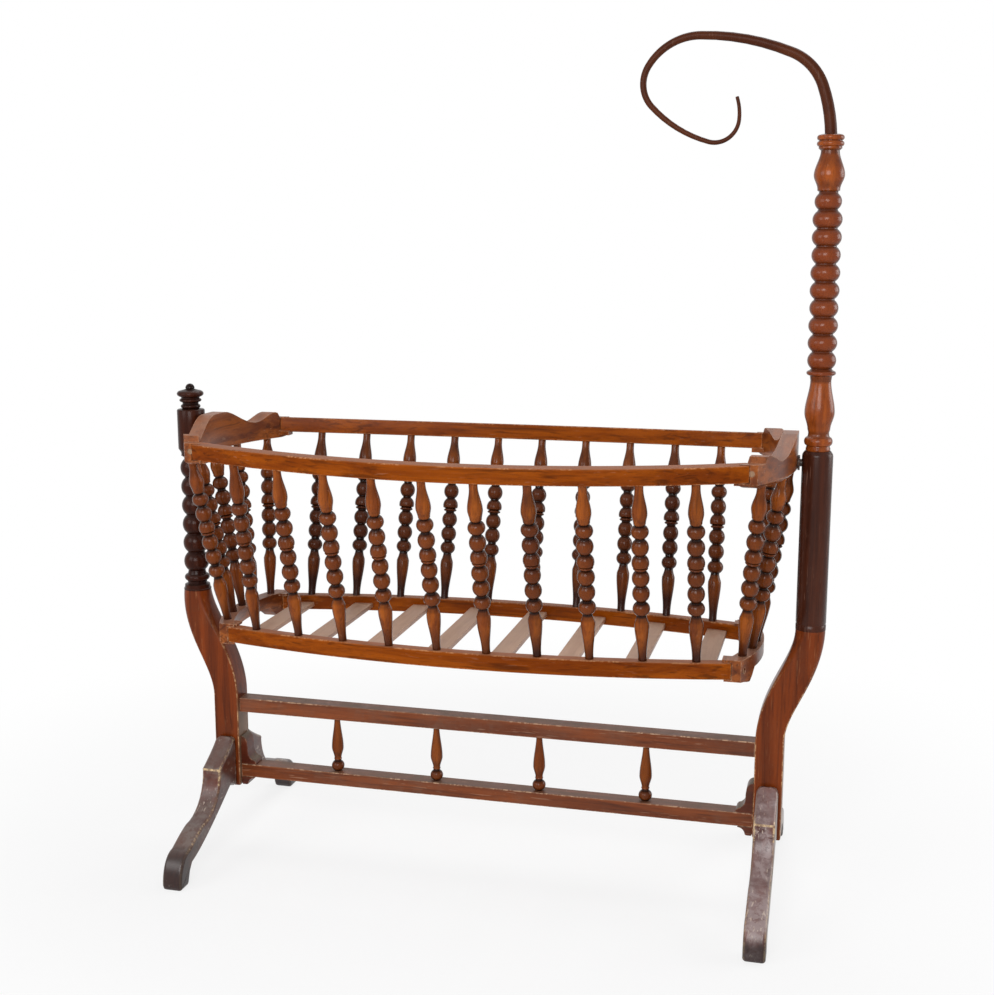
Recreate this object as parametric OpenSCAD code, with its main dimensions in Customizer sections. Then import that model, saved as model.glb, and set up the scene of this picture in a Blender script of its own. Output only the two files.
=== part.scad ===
// Swinging cradle on a stand: a spindle-sided tub hung between two posts,
// the head post carrying a turned pole with a bent rod for a veil.
// Origin on the floor midway between the posts; X along the tub, head end at +X; Z up.

/* [Posts] */
// Distance between the centre lines of the two lower posts
post_spread = 960; // [900:5:1040]
// Width of the square lower post along the cradle
post_w = 46; // [40:1:54]
// Depth of the square lower post across the cradle
post_d = 44; // [40:1:54]
// Rounding of the long edges of the square lower post
post_edge_r = 3; // [1:0.5:6]
// Height of the posts' lower ends above the floor
post_bottom_z = 100; // [95:1:106]
// Height at which the square part runs into the bend
bend_end_z = 268; // [266:1:290]
// Height at which the bend runs into the turned part
bend_start_z = 457; // [440:1:470]
// How far the upper post stands out from the lower one
bend_out = 57; // [45:1:70]
// Extra half width in the middle of the bend
bend_swell = 4.5; // [0:0.5:6]
// How far the turned part stands proud of the bend below it
seam_step = 0.4; // [0.2:0.1:1]
// Diameter of the turned part of both posts
turned_d = 48; // [44:1:52]
// Height of the swing pivots above the floor
pivot_z = 726; // [718:1:736]
// Length of the plain drum round the foot post's pivot
drum_len = 74; // [66:1:84]
// Height of the drum's centre above the pivot
drum_rise = 18; // [14:1:22]
// Number of balls on the foot post
ball_count = 6; // [4:1:7]
// Diameter of those balls
ball_d = 44; // [38:1:47]
// Height of the foot post's finial above the drum
finial_h = 44; // [36:1:52]
// Height of the head post's plain column above the pivot
column_rise = 20; // [17:1:30]

/* [Canopy pole and rod] */
// Length of the turned pole above the head post
pole_len = 482; // [440:2:540]
// Number of beads on the pole
pole_bead_count = 10; // [8:1:12]
// Diameter of the pole's beads
pole_bead_d = 45; // [40:1:50]
// Height of the foot and lower vase under the pole's beads
pole_foot_h = 128; // [116:1:140]
// Height of the upper vase and rings over the pole's beads
pole_crown_h = 86; // [80:1:96]
// Diameter of the pole's two vases at their widest
pole_vase_d = 46.5; // [42:0.5:50]
// Diameter of the tenon under the pole
pole_tenon_d = 22; // [16:1:28]
// Length of the tenon under the pole
pole_tenon_len = 38; // [25:1:60]
// Diameter of the bent rod where it leaves the pole
rod_base_d = 18.4; // [14:0.2:22]
// Diameter of the bent rod at its tip
rod_tip_d = 5.4; // [4:0.2:8]
// Length of the rod inside the pole
rod_tenon_len = 34; // [20:1:50]
// How far the bent rod reaches over the tub
rod_reach = 285; // [240:5:320]
// How far the rod leans back from upright where it leaves the pole, in degrees
rod_lean = 3; // [0:1:6]

/* [Legs] */
// Thickness of a leg along the cradle
leg_w = 35; // [30:1:42]
// How far a foot's toe stands out from the middle of the stand
leg_reach = 252; // [225:1:262]
// Height of the leg's upper end above the floor
leg_top_z = 194; // [186:1:202]
// Length of the flat sole
sole_len = 34; // [26:1:44]
// Diameter of the dowels that hold the legs
dowel_d = 12; // [8:1:14]
// How far a dowel runs into each leg
dowel_grip = 18; // [12:1:22]

/* [Stretchers] */
// Height of the upper stretcher's underside above the floor
upper_z = 237; // [225:1:240]
// Height of the upper stretcher's section
upper_h = 26; // [22:1:28]
// Height of the lower stretcher's underside above the floor
lower_z = 115; // [112:1:120]
// Height of the lower stretcher's section
lower_h = 24; // [20:1:27]
// Depth of both stretchers across the cradle
stretcher_d = 30; // [24:1:36]
// Thickness of the stretchers' tenons
tenon_t = 12; // [8:1:16]
// Shoulder above and under a stretcher's tenon
tenon_shoulder = 3; // [2:0.5:4]
// Distance from a post to the first small spindle between the stretchers
small_margin = 181; // [120:1:240]
// Depth of the holes that the small spindles sit in
small_socket = 9; // [6:0.5:12]
// Diameter of the small spindles' ends
small_pin_d = 9; // [7:0.5:11]
// Diameter of the small spindles' balls
small_ball_d = 23; // [18:0.5:27]
// Diameter of the small spindles' vases
small_vase_d = 21.5; // [16:0.5:26]
// Height of the shaped bracket on the lower stretcher
bracket_h = 53; // [44:1:60]
// Length of the brackets along the stretcher
bracket_len = 29; // [24:1:36]
// Height of the bracket under the lower stretcher
under_bracket_h = 15; // [10:1:15]

/* [Tub rails] */
// Height of the top rails' ends above the pivots, measured on the upper face
rail_over_pivot = 22; // [18:1:24]
// Height of the tub, from the bottom rails' upper face to the top rails'
tub_depth = 321.5; // [308:0.5:330]
// Thickness of the rails across the tub
rail_t = 20; // [18:0.5:24]
// Height of the rails' section
rail_h = 27; // [25:0.5:30]
// Length of the tenons at the rails' ends
rail_tenon_len = 10; // [6:0.5:11]
// Thickness of those tenons
rail_tenon_t = 8; // [6:0.5:9]
// Height of those tenons
rail_tenon_h = 14; // [10:0.5:18]
// Half width of the tub at the top rails' ends, to the middle of the rail
top_half_w = 175; // [165:1:185]
// How far the top rails bow out at their middle
top_bow = 66; // [50:1:75]
// How far the top rails tip outwards, in degrees
top_tilt = 7; // [3:0.5:10]
// Distance of a top rail's end from the tip of the top board's outer face
top_rail_setback = 15; // [14:0.5:21]
// Half width of the tub at the bottom rails' ends, to the middle of the rail
bottom_half_w = 112; // [104:1:120]
// How far the bottom rails bow out at their middle
bottom_bow = 50; // [35:1:60]
// Distance of a bottom rail's end from the tip of the bottom board's outer face
bottom_rail_setback = 17; // [14:0.5:21]

/* [Tub ends] */
// Thickness of the curved end boards
board_t = 24; // [22:1:30]
// Chamfer along the top board's lower outer edge
board_chamfer = 8; // [4:0.5:9]
// Gap between the top board and the post at the pivot
board_gap = 6; // [5:0.5:10]
// How far the top board's middle stands out from its tips
top_board_bulge = 49; // [40:1:56]
// Height of the top board's lower edge under the rail's upper face
top_board_drop = 37; // [35:1:44]
// Height of the central hump above the rail's upper face
hump_h = 26; // [18:1:32]
// Height of the ears above the rail's upper face
ear_h = 11; // [8:0.5:16]
// How far the valleys beside the hump lie under the rail's upper face
valley_drop = 3; // [0:0.5:6]
// Distance of the bottom board's outer face inside the top board's
bottom_inset = 43; // [36:1:50]
// How far the bottom board's middle stands out from its tips
bottom_board_bulge = 26; // [18:1:32]
// Height of the bottom board's upper face above the rail's
bottom_board_lift = 5; // [3:0.5:8]
// Depth of the lobes under the bottom board's tips
lobe_h = 9; // [5:1:14]
// Rise of the arch under the middle of the bottom board
arch_h = 10; // [5:1:14]

/* [Tub spindles] */
// Distance from a bottom rail's end to the first side spindle
side_margin = 52; // [46:0.5:70]
// Diameter of the spindles' beads
bead_d = 27.8; // [23:0.2:30]
// Spacing of the spindles' beads
bead_pitch = 26; // [24:0.2:27]
// Height of the lowest bead above the foot
first_bead = 92; // [84:1:96]
// Diameter of the spindles' upper vases
vase_d = 24.2; // [20:0.2:27]
// Diameter of the spindles' lower vases
lower_vase_d = 22.8; // [19:0.2:26]
// Height of the lower vases' widest place above the foot
lower_vase_rise = 64; // [54:1:70]
// Diameter of the spindles where they enter the top
neck_d = 13.6; // [12:0.2:15.4]
// Diameter of the spindles where they enter the bottom
foot_d = 13.4; // [10:0.2:14]
// Depth of the holes under the spindles
foot_socket = 10; // [8:0.5:11]
// Depth of the holes over the spindles
head_socket = 13; // [8:0.5:16]
// Distance of the inner end spindles from the middle, at the bottom board
end_pitch_bottom = 44; // [38:1:48]
// Distance of the inner end spindles from the middle, at the top board
end_pitch_top = 76; // [66:1:84]
// Distance of the corner spindles from the rail's middle, at the bottom board
corner_inset_bottom = 20; // [17:1:24]
// Distance of the corner spindles from the rail's middle, at the top board
corner_inset_top = 23; // [19:1:27]

/* [Slats and fasteners] */
// Distance from a bottom rail's end to the middle of the first slat
slat_margin = 43; // [40:1:60]
// Width of a slat
slat_w = 34; // [24:1:44]
// Thickness of a slat
slat_t = 8; // [6:0.5:9]
// Wood left between the spindles' holes and the slats
slat_gap = 2.5; // [2:0.5:3.5]
// How far a slat runs into each bottom rail
slat_grip = 9; // [6:0.5:10]
// Diameter of the pivot pins
pivot_d = 12; // [10:0.5:16]
// Diameter of the collar on each pivot pin
pivot_collar_d = 24; // [18:1:28]
// How far a pivot pin runs into the post
pivot_grip = 26; // [20:1:32]
// Diameter of the screws through the boards' tips
screw_d = 5; // [3:0.5:6]
// Diameter of those screws' heads
screw_head_d = 9; // [7:0.5:11]
// Clearance round glued joints
glue_gap = 0.1; // [0.05:0.05:0.2]
// Radial clearance of the pivots in the posts
pivot_gap = 0.05; // [0.02:0.01:0.09]

/* [Hidden] */
side_count = 10;
slat_count = 8;
small_count = 4;
half_spread = post_spread / 2;
axis_x = half_spread + bend_out;
turned_r = turned_d / 2;
post_in_x = half_spread - post_w / 2;
stretcher_half = post_in_x;
upper_top_z = upper_z + upper_h;
lower_top_z = lower_z + lower_h;
column_top_z = pivot_z + column_rise;
pole_top_z = column_top_z + pole_len;
drum_low_z = pivot_z + drum_rise - drum_len / 2;
drum_top_z = drum_low_z + drum_len;
top_rail_z = pivot_z + rail_over_pivot;
bottom_rail_z = top_rail_z - tub_depth;
top_rail_mid_z = top_rail_z - rail_h / 2;
bottom_low_z = bottom_rail_z - rail_h;
board_x = axis_x - turned_r - board_gap;
bottom_board_x = board_x - bottom_inset;
top_tip_x = board_x - top_board_bulge;
bottom_tip_x = bottom_board_x - bottom_board_bulge;
top_half_len = top_tip_x - top_rail_setback;
bottom_half_len = bottom_tip_x - bottom_rail_setback;
top_board_half_w = top_half_w + rail_t / 2;
bottom_board_half_w = bottom_half_w + rail_t / 2;
top_board_low_z = top_rail_z - top_board_drop;
// The end spindles' heads stop short of the pivot pin
end_head_socket = top_board_drop - rail_over_pivot - pivot_d / 2 - 3;
bottom_board_top_z = bottom_rail_z + bottom_board_lift;
slat_top_z = bottom_rail_z - foot_socket - slat_gap;
small_pitch = 2 * (stretcher_half - small_margin) / (small_count - 1);
side_pitch = 2 * (bottom_half_len - side_margin) / (side_count - 1);
slat_pitch = 2 * (bottom_half_len - slat_margin) / (slat_count - 1);
corner_bottom = bottom_half_w - corner_inset_bottom;
corner_top = top_half_w - corner_inset_top;
wood_red = [0.42, 0.18, 0.08];
wood_orange = [0.52, 0.24, 0.10];
wood_brown = [0.36, 0.19, 0.10];
wood_dark = [0.20, 0.09, 0.06];
metal_dark = [0.25, 0.24, 0.23];
ledge = 0.6;
screw_head_h = 3;
$fn = 72;

SIDES = ["front", "back"];
ENDS = ["foot", "head"];

// ---- small helpers -------------------------------------------------------

function ease(t) = t * t * (3 - 2 * t);
function mix(a, b, t) = a + (b - a) * t;
function arc_radius(half_chord, bow) = (half_chord * half_chord + bow * bow) / (2 * bow);

// A round ring on a turned piece: centre height, half height, radius and neck radius
function bead(z, h, r, neck) = [for (a = [-80:20:80]) [neck + (r - neck) * cos(a), z + h * sin(a)]];

// A ball cut off at its necks: the same four values
function ball(z, h, r, neck) =
  let (most = acos(neck / r))
  [for (k = [-4:4]) [r * cos(most * k / 4), z + h * sin(most * k / 4) / sin(most)]];

// A smooth swelling between two radii, from z0 up to z1
function swell(z0, r0, z1, r1, n = 6) =
  [for (k = [1:n - 1]) [mix(r0, r1, ease(k / n)), mix(z0, z1, k / n)]];

// Puts a piece drawn for the back and the head end on any side and any end
module on_side(s) {
  mirror([0, s == "back" ? 0 : 1, 0]) children();
}
module on_end(e) {
  mirror([e == "head" ? 0 : 1, 0, 0]) children();
}

// Turns a profile of [radius, height] points into a solid
module turned(points) {
  rotate_extrude() polygon(points);
}

// Stands a piece drawn along +Z on the line from a to b
module along(a, b) {
  d = b - a;
  translate(a)
    rotate([0, acos(d.z / norm(d)), atan2(d.y, d.x)]) children();
}

// ---- posts ---------------------------------------------------------------

// Nine points per corner of the rounded section, at height share t of the bend
function post_ring(t, z) =
  let (round_r = turned_r - seam_step,
       a = mix(post_w / 2, round_r, t) + bend_swell * pow(sin(180 * t), 2),
       b = mix(post_d / 2, round_r, t),
       r = mix(post_edge_r, round_r - 0.3, pow(t, 3)),
       x = half_spread + bend_out * ease(t))
  [for (q = [0:3], k = [0:8])
    let (turn = 90 * q + 11.25 * k,
         sx = (q == 0 || q == 3) ? 1 : -1,
         sy = q < 2 ? 1 : -1)
    [x + sx * (a - r) + r * cos(turn), sy * (b - r) + r * sin(turn), z]];

// Square part and bend, with a short stub inside the turned part
module lower_post_blank() {
  steps = 20;
  ring = 36;
  last = steps + 2;
  points = concat(
    post_ring(0, post_bottom_z),
    [for (k = [0:steps]) each post_ring(k / steps, mix(bend_end_z, bend_start_z, k / steps))],
    post_ring(1, bend_start_z + 1.5));
  walls = [for (k = [0:last - 1], i = [0:ring - 1])
    let (j = (i + 1) % ring, a = k * ring, b = a + ring) each [[a + i, b + i, b + j], [a + i, b + j, a + j]]];
  caps = [[for (i = [0:ring - 1]) i], [for (i = [ring - 1:-1:0]) last * ring + i]];
  polyhedron(points, concat(caps, walls), convexity = 4);
}

// Square part, bend and the mortises for both stretchers, drawn for the head end
module lower_post() {
  difference() {
    lower_post_blank();
    mortise(upper_z, upper_h);
    mortise(lower_z, lower_h);
    for (z = dowel_heights()) dowel(z, glue_gap);
  }
}

module mortise(z, h) {
  t = tenon_t + 2 * glue_gap;
  translate([post_in_x - 1, -t / 2, z + tenon_shoulder - glue_gap])
    cube([post_w + 2, t, h - 2 * tenon_shoulder + 2 * glue_gap]);
}

module pivot_bore() {
  translate([board_x, 0, pivot_z]) rotate([0, 90, 0])
    cylinder(d = pivot_d + 2 * pivot_gap, h = board_gap + pivot_grip + 1);
}

// Turned part of the foot post, from the bend up to the finial
function foot_profile() =
  let (base = bend_start_z,
       r = turned_r,
       ball_r = ball_d / 2,
       first = base + 34,
       last = drum_low_z - 14,
       pitch = (last - first) / ball_count,
       neck = ball_r * 0.68,
       top = drum_top_z,
       f = finial_h)
  concat(
    [[0, base], [r, base], [r, base + 2], [r - 1.4, base + 3], [r - 1.4, base + 5], [r - 2, base + 9],
     [neck + 2, base + 11], [neck + 2, base + 14]],
    bead(base + 22, 6, ball_r, neck + 1),
    [[neck + 1, base + 30]],
    [for (i = [0:ball_count - 1]) each ball(first + pitch * (i + 0.5), pitch * 0.47, ball_r, neck)],
    [[neck, last + 2], [neck + 5, last + 6], [r - 5, last + 8], [r - 4, last + 12], [r - 3, drum_low_z],
     [r, drum_low_z + 4], [r, top - 3], [r - 1.5, top - 0.8], [r - 7, top]],
    bead(top + f * 0.10, f * 0.08, r - 7, r - 11),
    [[r - 10, top + f * 0.26]],
    bead(top + f * 0.34, f * 0.07, r - 5, r - 9),
    [[r - 8, top + f * 0.45]],
    bead(top + f * 0.60, f * 0.13, r - 1, r - 9),
    [[r - 13, top + f * 0.76], [7, top + f * 0.80]],
    [for (a = [0:22.5:90]) [8 * cos(a), top + f * 0.82 + f * 0.18 * sin(a)]]);

module foot_post() {
  color(wood_dark) mirror([1, 0, 0]) difference() {
    union() {
      lower_post();
      translate([axis_x, 0, 0]) turned(foot_profile());
    }
    pivot_bore();
  }
}

// Plain column of the head post; its top rounds over to the pole's foot
function head_profile() =
  let (r = turned_r, base = bend_start_z, top = column_top_z)
  [[0, base], [r, base], [r, base + 8], [r - 0.8, base + 9], [r - 0.8, base + 10.5], [r, base + 11.5],
   [r, top - 8], [r - 1.5, top - 3.5], [r - 4, top], [0, top]];

module head_post() {
  color(wood_dark) difference() {
    union() {
      lower_post();
      translate([axis_x, 0, 0]) turned(head_profile());
    }
    pivot_bore();
    translate([axis_x, 0, column_top_z - pole_tenon_len - 1])
      cylinder(d = pole_tenon_d + 2 * glue_gap, h = pole_tenon_len + 2);
  }
}

// ---- canopy pole and rod -------------------------------------------------

function pole_profile() =
  let (v = pole_vase_d / 2,
       b = pole_bead_d / 2,
       tip = pole_len,
       low = pole_foot_h,
       low_mid = low * 0.47,
       high_mid = pole_len - pole_crown_h * 0.7,
       high = pole_len - pole_crown_h,
       pitch = (high - low) / pole_bead_count,
       neck = b * 0.7)
  concat(
    [[0, 0], [19, 0], [19, 5]],
    bead(15, 7, b - 0.5, 17),
    [[16.5, 24], [16, 29], [17.5, 34]],
    swell(34, 17.5, low_mid, v),
    [[v, low_mid]],
    swell(low_mid, v, low - 18, 16, 8),
    [[16, low - 18], [17, low - 11]],
    bead(low - 6, 4, b, 17),
    [for (i = [0:pole_bead_count - 2]) each ball(low + pitch * (i + 0.5), pitch * 0.47, b, neck)],
    ball(high - pitch * 0.5, pitch * 0.44, b - 2, neck - 1),
    [[neck - 1.5, high + 1], [17, high + 3], [17, high + 5]],
    swell(high + 5, 17, high_mid, v, 5),
    [[v, high_mid]],
    swell(high_mid, v, tip - 24, 14, 7),
    [[14, tip - 24], [17.5, tip - 21], [17.5, tip - 19]],
    bead(tip - 14, 4.2, 20.4, 16.5),
    bead(tip - 5, 4.2, 20.4, 16.5),
    [[14, tip], [0, tip]]);

module canopy_pole() {
  color(wood_orange) translate([axis_x, 0, column_top_z]) difference() {
    union() {
      turned(pole_profile());
      translate([0, 0, -pole_tenon_len]) cylinder(d = pole_tenon_d, h = pole_tenon_len + 1);
    }
    translate([0, 0, pole_len - rod_tenon_len - 1])
      cylinder(d = rod_base_d + 2 * glue_gap, h = rod_tenon_len + 2);
    translate([-axis_x, 0, -column_top_z]) pivot_bore();
  }
}

// The rod is a chain of arcs over the tub: radius, in shares of its reach, and turn in degrees
rod_arcs = [[0.86, 17], [0.30, 47], [1.30, 22], [0.32, 59], [0.175, 75], [0.685, 31], [0.127, 101], [0.295, 24]];
rod_step_turn = 7;

function rod_r(i) = rod_arcs[i][0] * rod_reach;
function rod_turn(i) = i == 0 ? rod_lean : rod_turn(i - 1) + rod_arcs[i - 1][1];
function rod_step(i, turn) =
  let (r = rod_r(i), h = rod_turn(i))
  [r * (cos(h) - cos(turn)), r * (sin(turn) - sin(h))];
function rod_start(i) = i == 0 ? [0, 0] : rod_start(i - 1) + rod_step(i - 1, rod_turn(i));
function rod_run(i) = i == 0 ? 0 : rod_run(i - 1) + rod_r(i - 1) * rod_arcs[i - 1][1] * PI / 180;

// Stations along the rod: sideways, up, direction and distance run
function rod_stations() =
  let (n = len(rod_arcs))
  concat(
    [[0, -3, 0, 0], [0, 0, rod_lean, 0]],
    [for (i = [0:n - 1])
      let (sweep = rod_arcs[i][1], steps = ceil(sweep / rod_step_turn))
      for (k = [1:steps])
        let (turn = rod_turn(i) + sweep * k / steps, at = rod_start(i) + rod_step(i, turn))
        [at.x, at.y, turn, rod_run(i) + rod_r(i) * sweep * k / steps * PI / 180]]);

module canopy_rod() {
  sides = 16;
  stations = rod_stations();
  last = len(stations) - 1;
  whole = stations[last][3];
  points = [for (s = stations)
    let (r = mix(rod_base_d, rod_tip_d, s[3] / whole) / 2)
    for (k = [0:sides - 1])
      let (a = 360 * k / sides, out = r * cos(a))
      [axis_x - s.x - out * cos(s.z), r * sin(a), pole_top_z + s.y - out * sin(s.z)]];
  walls = [for (s = [0:last - 1], i = [0:sides - 1])
    let (j = (i + 1) % sides, a = s * sides, b = a + sides) each [[a + i, b + i, b + j], [a + i, b + j, a + j]]];
  caps = [[for (i = [sides - 1:-1:0]) i], [for (i = [0:sides - 1]) last * sides + i]];
  color(wood_brown) {
    polyhedron(points, concat([for (f = concat(caps, walls)) [for (i = [len(f) - 1:-1:0]) f[i]]]), convexity = 6);
    translate([axis_x, 0, pole_top_z - rod_tenon_len]) cylinder(d = rod_base_d, h = rod_tenon_len);
  }
}

// ---- stretchers ----------------------------------------------------------

module stretcher(z, h) {
  difference() {
    union() {
      translate([-stretcher_half, -stretcher_d / 2, z]) cube([2 * stretcher_half, stretcher_d, h]);
      translate([-stretcher_half - post_w, -tenon_t / 2, z + tenon_shoulder])
        cube([2 * (stretcher_half + post_w), tenon_t, h - 2 * tenon_shoulder]);
    }
    for (i = [1:small_count]) translate([small_x(i), 0, 0])
      translate([0, 0, z == upper_z ? upper_z - 1 : lower_top_z - small_socket - 1])
        cylinder(d = small_pin_d + 2 * glue_gap, h = small_socket + 2);
  }
}

function small_x(i) = (i - (small_count + 1) / 2) * small_pitch;

module small_spindle(i) {
  h = upper_z - lower_top_z;
  b = small_ball_d / 2;
  v = small_vase_d / 2;
  p = small_pin_d / 2;
  color(wood_red) translate([small_x(i), 0, lower_top_z]) turned(concat(
    [[0, -small_socket], [p, -small_socket], [p, 0], [b * 0.62, 0]],
    ball(h * 0.095, h * 0.088, b, b * 0.55),
    [[b * 0.55, h * 0.21], [b * 0.55, h * 0.24]],
    swell(h * 0.24, b * 0.55, h * 0.44, v, 5),
    [[v, h * 0.44]],
    swell(h * 0.44, v, h, p + 0.6, 8),
    [[p + 0.6, h], [p, h], [p, h + small_socket], [0, h + small_socket]]));
}

// Shaped bracket in the corner over the lower stretcher, drawn for the head end
module upper_bracket() {
  h = bracket_h;
  l = bracket_len;
  outline = concat(
    [[0, 0], [0, h]],
    [for (a = [0:15:75]) [l * 0.42 * sin(a), h * 0.72 + h * 0.28 * cos(a)]],
    [[l * 0.45, h * 0.6]],
    [for (a = [0:15:75]) [l * 0.45 + l * 0.27 * (1 - cos(a)), h * 0.5 - h * 0.3 * sin(a)]],
    [[l * 0.72, h * 0.17]],
    [for (a = [0:22.5:90]) [l * 0.72 + l * 0.28 * sin(a), h * 0.17 * cos(a)]]);
  color(wood_dark) translate([post_in_x, stretcher_d / 2, lower_top_z])
    rotate([90, 0, 0]) mirror([1, 0, 0]) linear_extrude(stretcher_d) polygon(outline);
}

// Bracket under the lower stretcher: flat foot at the post, then a hollow run up to its tip
module lower_bracket() {
  h = under_bracket_h;
  l = bracket_len;
  outline = concat(
    [[0, 0], [0, -h * 0.7], [l * 0.06, -h], [l * 0.34, -h], [l * 0.42, -h * 0.9]],
    [for (a = [75:-15:15]) [l * 0.86 - l * 0.42 * sin(a), -h * 0.12 - h * 0.74 * (1 - cos(a))]],
    [[l * 0.86, -h * 0.12], [l * 0.86, 0]]);
  color(wood_dark) translate([post_in_x, stretcher_d / 2, lower_z])
    rotate([90, 0, 0]) mirror([1, 0, 0]) linear_extrude(stretcher_d) polygon(outline);
}

// ---- legs ----------------------------------------------------------------

function dowel_heights() = [lower_top_z + 14, leg_top_z - 23];

module dowel(z, grow = 0) {
  long = post_d + 2 * dowel_grip;
  translate([half_spread, long / 2 + grow, z]) rotate([90, 0, 0])
    cylinder(d = dowel_d + 2 * grow, h = long + 2 * grow);
}

// Side outline of a leg as [out, up]: rounded head, ridge, hollow shin, round toe, flat sole and instep
function leg_outline() =
  let (y0 = post_d / 2, top = leg_top_z, toe = leg_reach, reach = toe - y0,
       ridge = y0 + reach * 0.30,
       knee = y0 + reach * 0.60,
       toe_r = 38,
       toe_top = top * 0.31,
       heel = toe - sole_len - 13)
  concat(
    [[y0, top - 4], [y0 + 3, top - 1], [y0 + 9, top]],
    [for (k = [1:6]) [mix(y0 + 9, ridge, k / 6), top - top * 0.2 * pow(k / 6, 0.8)]],
    [for (a = [0:15:90]) [knee - (knee - ridge) * cos(a), top * (0.78 - 0.36 * sin(a))]],
    [for (k = [1:5]) [mix(knee, toe - toe_r, k / 5), mix(top * 0.42, toe_top, pow(k / 5, 1.2))]],
    [for (a = [15:15:75]) [toe - toe_r + toe_r * sin(a), mix(8, toe_top, cos(a))]],
    [[toe, 8], [toe - 2, 2], [toe - 5, 0], [toe - sole_len + 7, 0]],
    [[toe - sole_len + 2, 3], [toe - sole_len - 1, 10], [toe - sole_len - 5, top * 0.11]],
    [for (k = [0:6]) [mix(heel, y0 + 26, k / 6), mix(top * 0.165, post_bottom_z + 9, pow(k / 6, 1.25))]],
    [[y0 + 10, post_bottom_z + 3], [y0, post_bottom_z + 3]]);

module leg() {
  long = leg_reach - post_d / 2;
  color(wood_dark) difference() {
    intersection() {
      translate([half_spread - leg_w / 2, 0, 0]) rotate([90, 0, 90]) linear_extrude(leg_w) polygon(leg_outline());
      translate([half_spread, leg_reach + 1, 0]) rotate([90, 0, 0]) linear_extrude(long + 2) leg_front();
    }
    for (z = dowel_heights()) dowel(z, glue_gap);
  }
}

// Front outline of a leg, whose head is rounded on both sides
module leg_front() {
  r = leg_w * 0.36;
  translate([-leg_w / 2, -1]) square([leg_w, leg_top_z - r + 1]);
  translate([-leg_w / 2 + r, -1]) square([leg_w - 2 * r, leg_top_z + 1]);
  for (x = [-1, 1]) translate([x * (leg_w / 2 - r), leg_top_z - r]) circle(r = r);
}

module leg_dowels() {
  color(wood_brown) for (e = ENDS) on_end(e) for (z = dowel_heights()) dowel(z);
}

// ---- tub rails -----------------------------------------------------------

top_r = arc_radius(top_half_len, top_bow);
bottom_r = arc_radius(bottom_half_len, bottom_bow);

// A bowed bar about its chord, on the back side: outward is +Y; outer widens it outwards
module bowed_bar(half_len, bow, longer, t, h, outer = 0) {
  r = arc_radius(half_len, bow);
  half_turn = asin((half_len + longer) / r);
  translate([0, bow - r, 0]) rotate([0, 0, 90 - half_turn])
    rotate_extrude(angle = 2 * half_turn, $fn = 256) translate([r - t / 2, -h / 2]) square([t + outer, h]);
}

// A rail with a tenon at each end, or the pocket that it lies in, which is open outwards
module rail_blank(half_len, bow, grow = 0) {
  bowed_bar(half_len, bow, grow, rail_t + 2 * grow, rail_h + 2 * grow, grow > 0 ? rail_t : 0);
  bowed_bar(half_len, bow, rail_tenon_len + grow, rail_tenon_t + 2 * grow, rail_tenon_h + 2 * grow);
}

module top_rail_blank(grow = 0) {
  translate([0, top_half_w, top_rail_mid_z]) rotate([-top_tilt, 0, 0])
    rail_blank(top_half_len, top_bow, grow);
}

module bottom_rail_blank(grow = 0) {
  translate([0, bottom_half_w, bottom_rail_z - rail_h / 2]) rail_blank(bottom_half_len, bottom_bow, grow);
}

// Middle of the top rail's underside and of the bottom rail's upper face at x
function bow_at(x, r, bow) = bow - r + sqrt(r * r - x * x);
function top_point(x) =
  let (out = bow_at(x, top_r, top_bow), h = rail_h / 2)
  [x, top_half_w + out * cos(top_tilt) - h * sin(top_tilt),
   top_rail_mid_z - out * sin(top_tilt) - h * cos(top_tilt)];
function bottom_point(x) = [x, bottom_half_w + bow_at(x, bottom_r, bottom_bow), bottom_rail_z];
function side_x(i) = (i - (side_count + 1) / 2) * side_pitch;

module sockets(a, b, head = head_socket, grow = glue_gap) {
  long = norm(b - a);
  along(a, b) rotate(30) {
    translate([0, 0, -foot_socket]) cylinder(d = foot_d + 2 * grow, h = foot_socket + 6);
    translate([0, 0, long - 8]) cylinder(d = neck_d + 2 * grow, h = head + 8);
  }
}

module top_rail(s) {
  color(wood_red) on_side(s) difference() {
    top_rail_blank();
    for (i = [1:side_count]) sockets(bottom_point(side_x(i)), top_point(side_x(i)));
    for (e = ENDS) on_end(e) top_screw(glue_gap);
  }
}

module bottom_rail(s) {
  color(wood_red) on_side(s) difference() {
    bottom_rail_blank();
    for (i = [1:side_count]) sockets(bottom_point(side_x(i)), top_point(side_x(i)));
    for (i = [1:slat_count]) slat_blank(i, glue_gap);
    for (e = ENDS) on_end(e) bottom_screw(glue_gap);
  }
}

// ---- slats ---------------------------------------------------------------

function slat_x(i) = (i - (slat_count + 1) / 2) * slat_pitch;
function slat_half(i) = bottom_half_w + bow_at(slat_x(i), bottom_r, bottom_bow) - rail_t / 2 + slat_grip;

module slat_blank(i, grow = 0) {
  half = slat_half(i) + grow;
  translate([slat_x(i) - slat_w / 2 - grow, -half, slat_top_z - slat_t - grow])
    cube([slat_w + 2 * grow, 2 * half, slat_t + 2 * grow]);
}

module slat(i) {
  color(wood_brown) slat_blank(i);
}

// ---- tub ends ------------------------------------------------------------

top_board_r = arc_radius(top_board_half_w, top_board_bulge);
bottom_board_r = arc_radius(bottom_board_half_w, bottom_board_bulge);

// Upright curved plank: outer face at x in the middle, lower outer edge chamfered if asked
module curved_plank(x, r, z0, z1, chamfer = 0) {
  low = chamfer > 0 ? [[r - chamfer, z0], [r, z0 + chamfer]] : [[r, z0]];
  translate([x - r, 0, 0]) rotate([0, 0, -60]) rotate_extrude(angle = 120, $fn = 240)
    polygon(concat([[r - board_t, z0]], low, [[r, z1], [r - board_t, z1]]));
}

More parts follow.
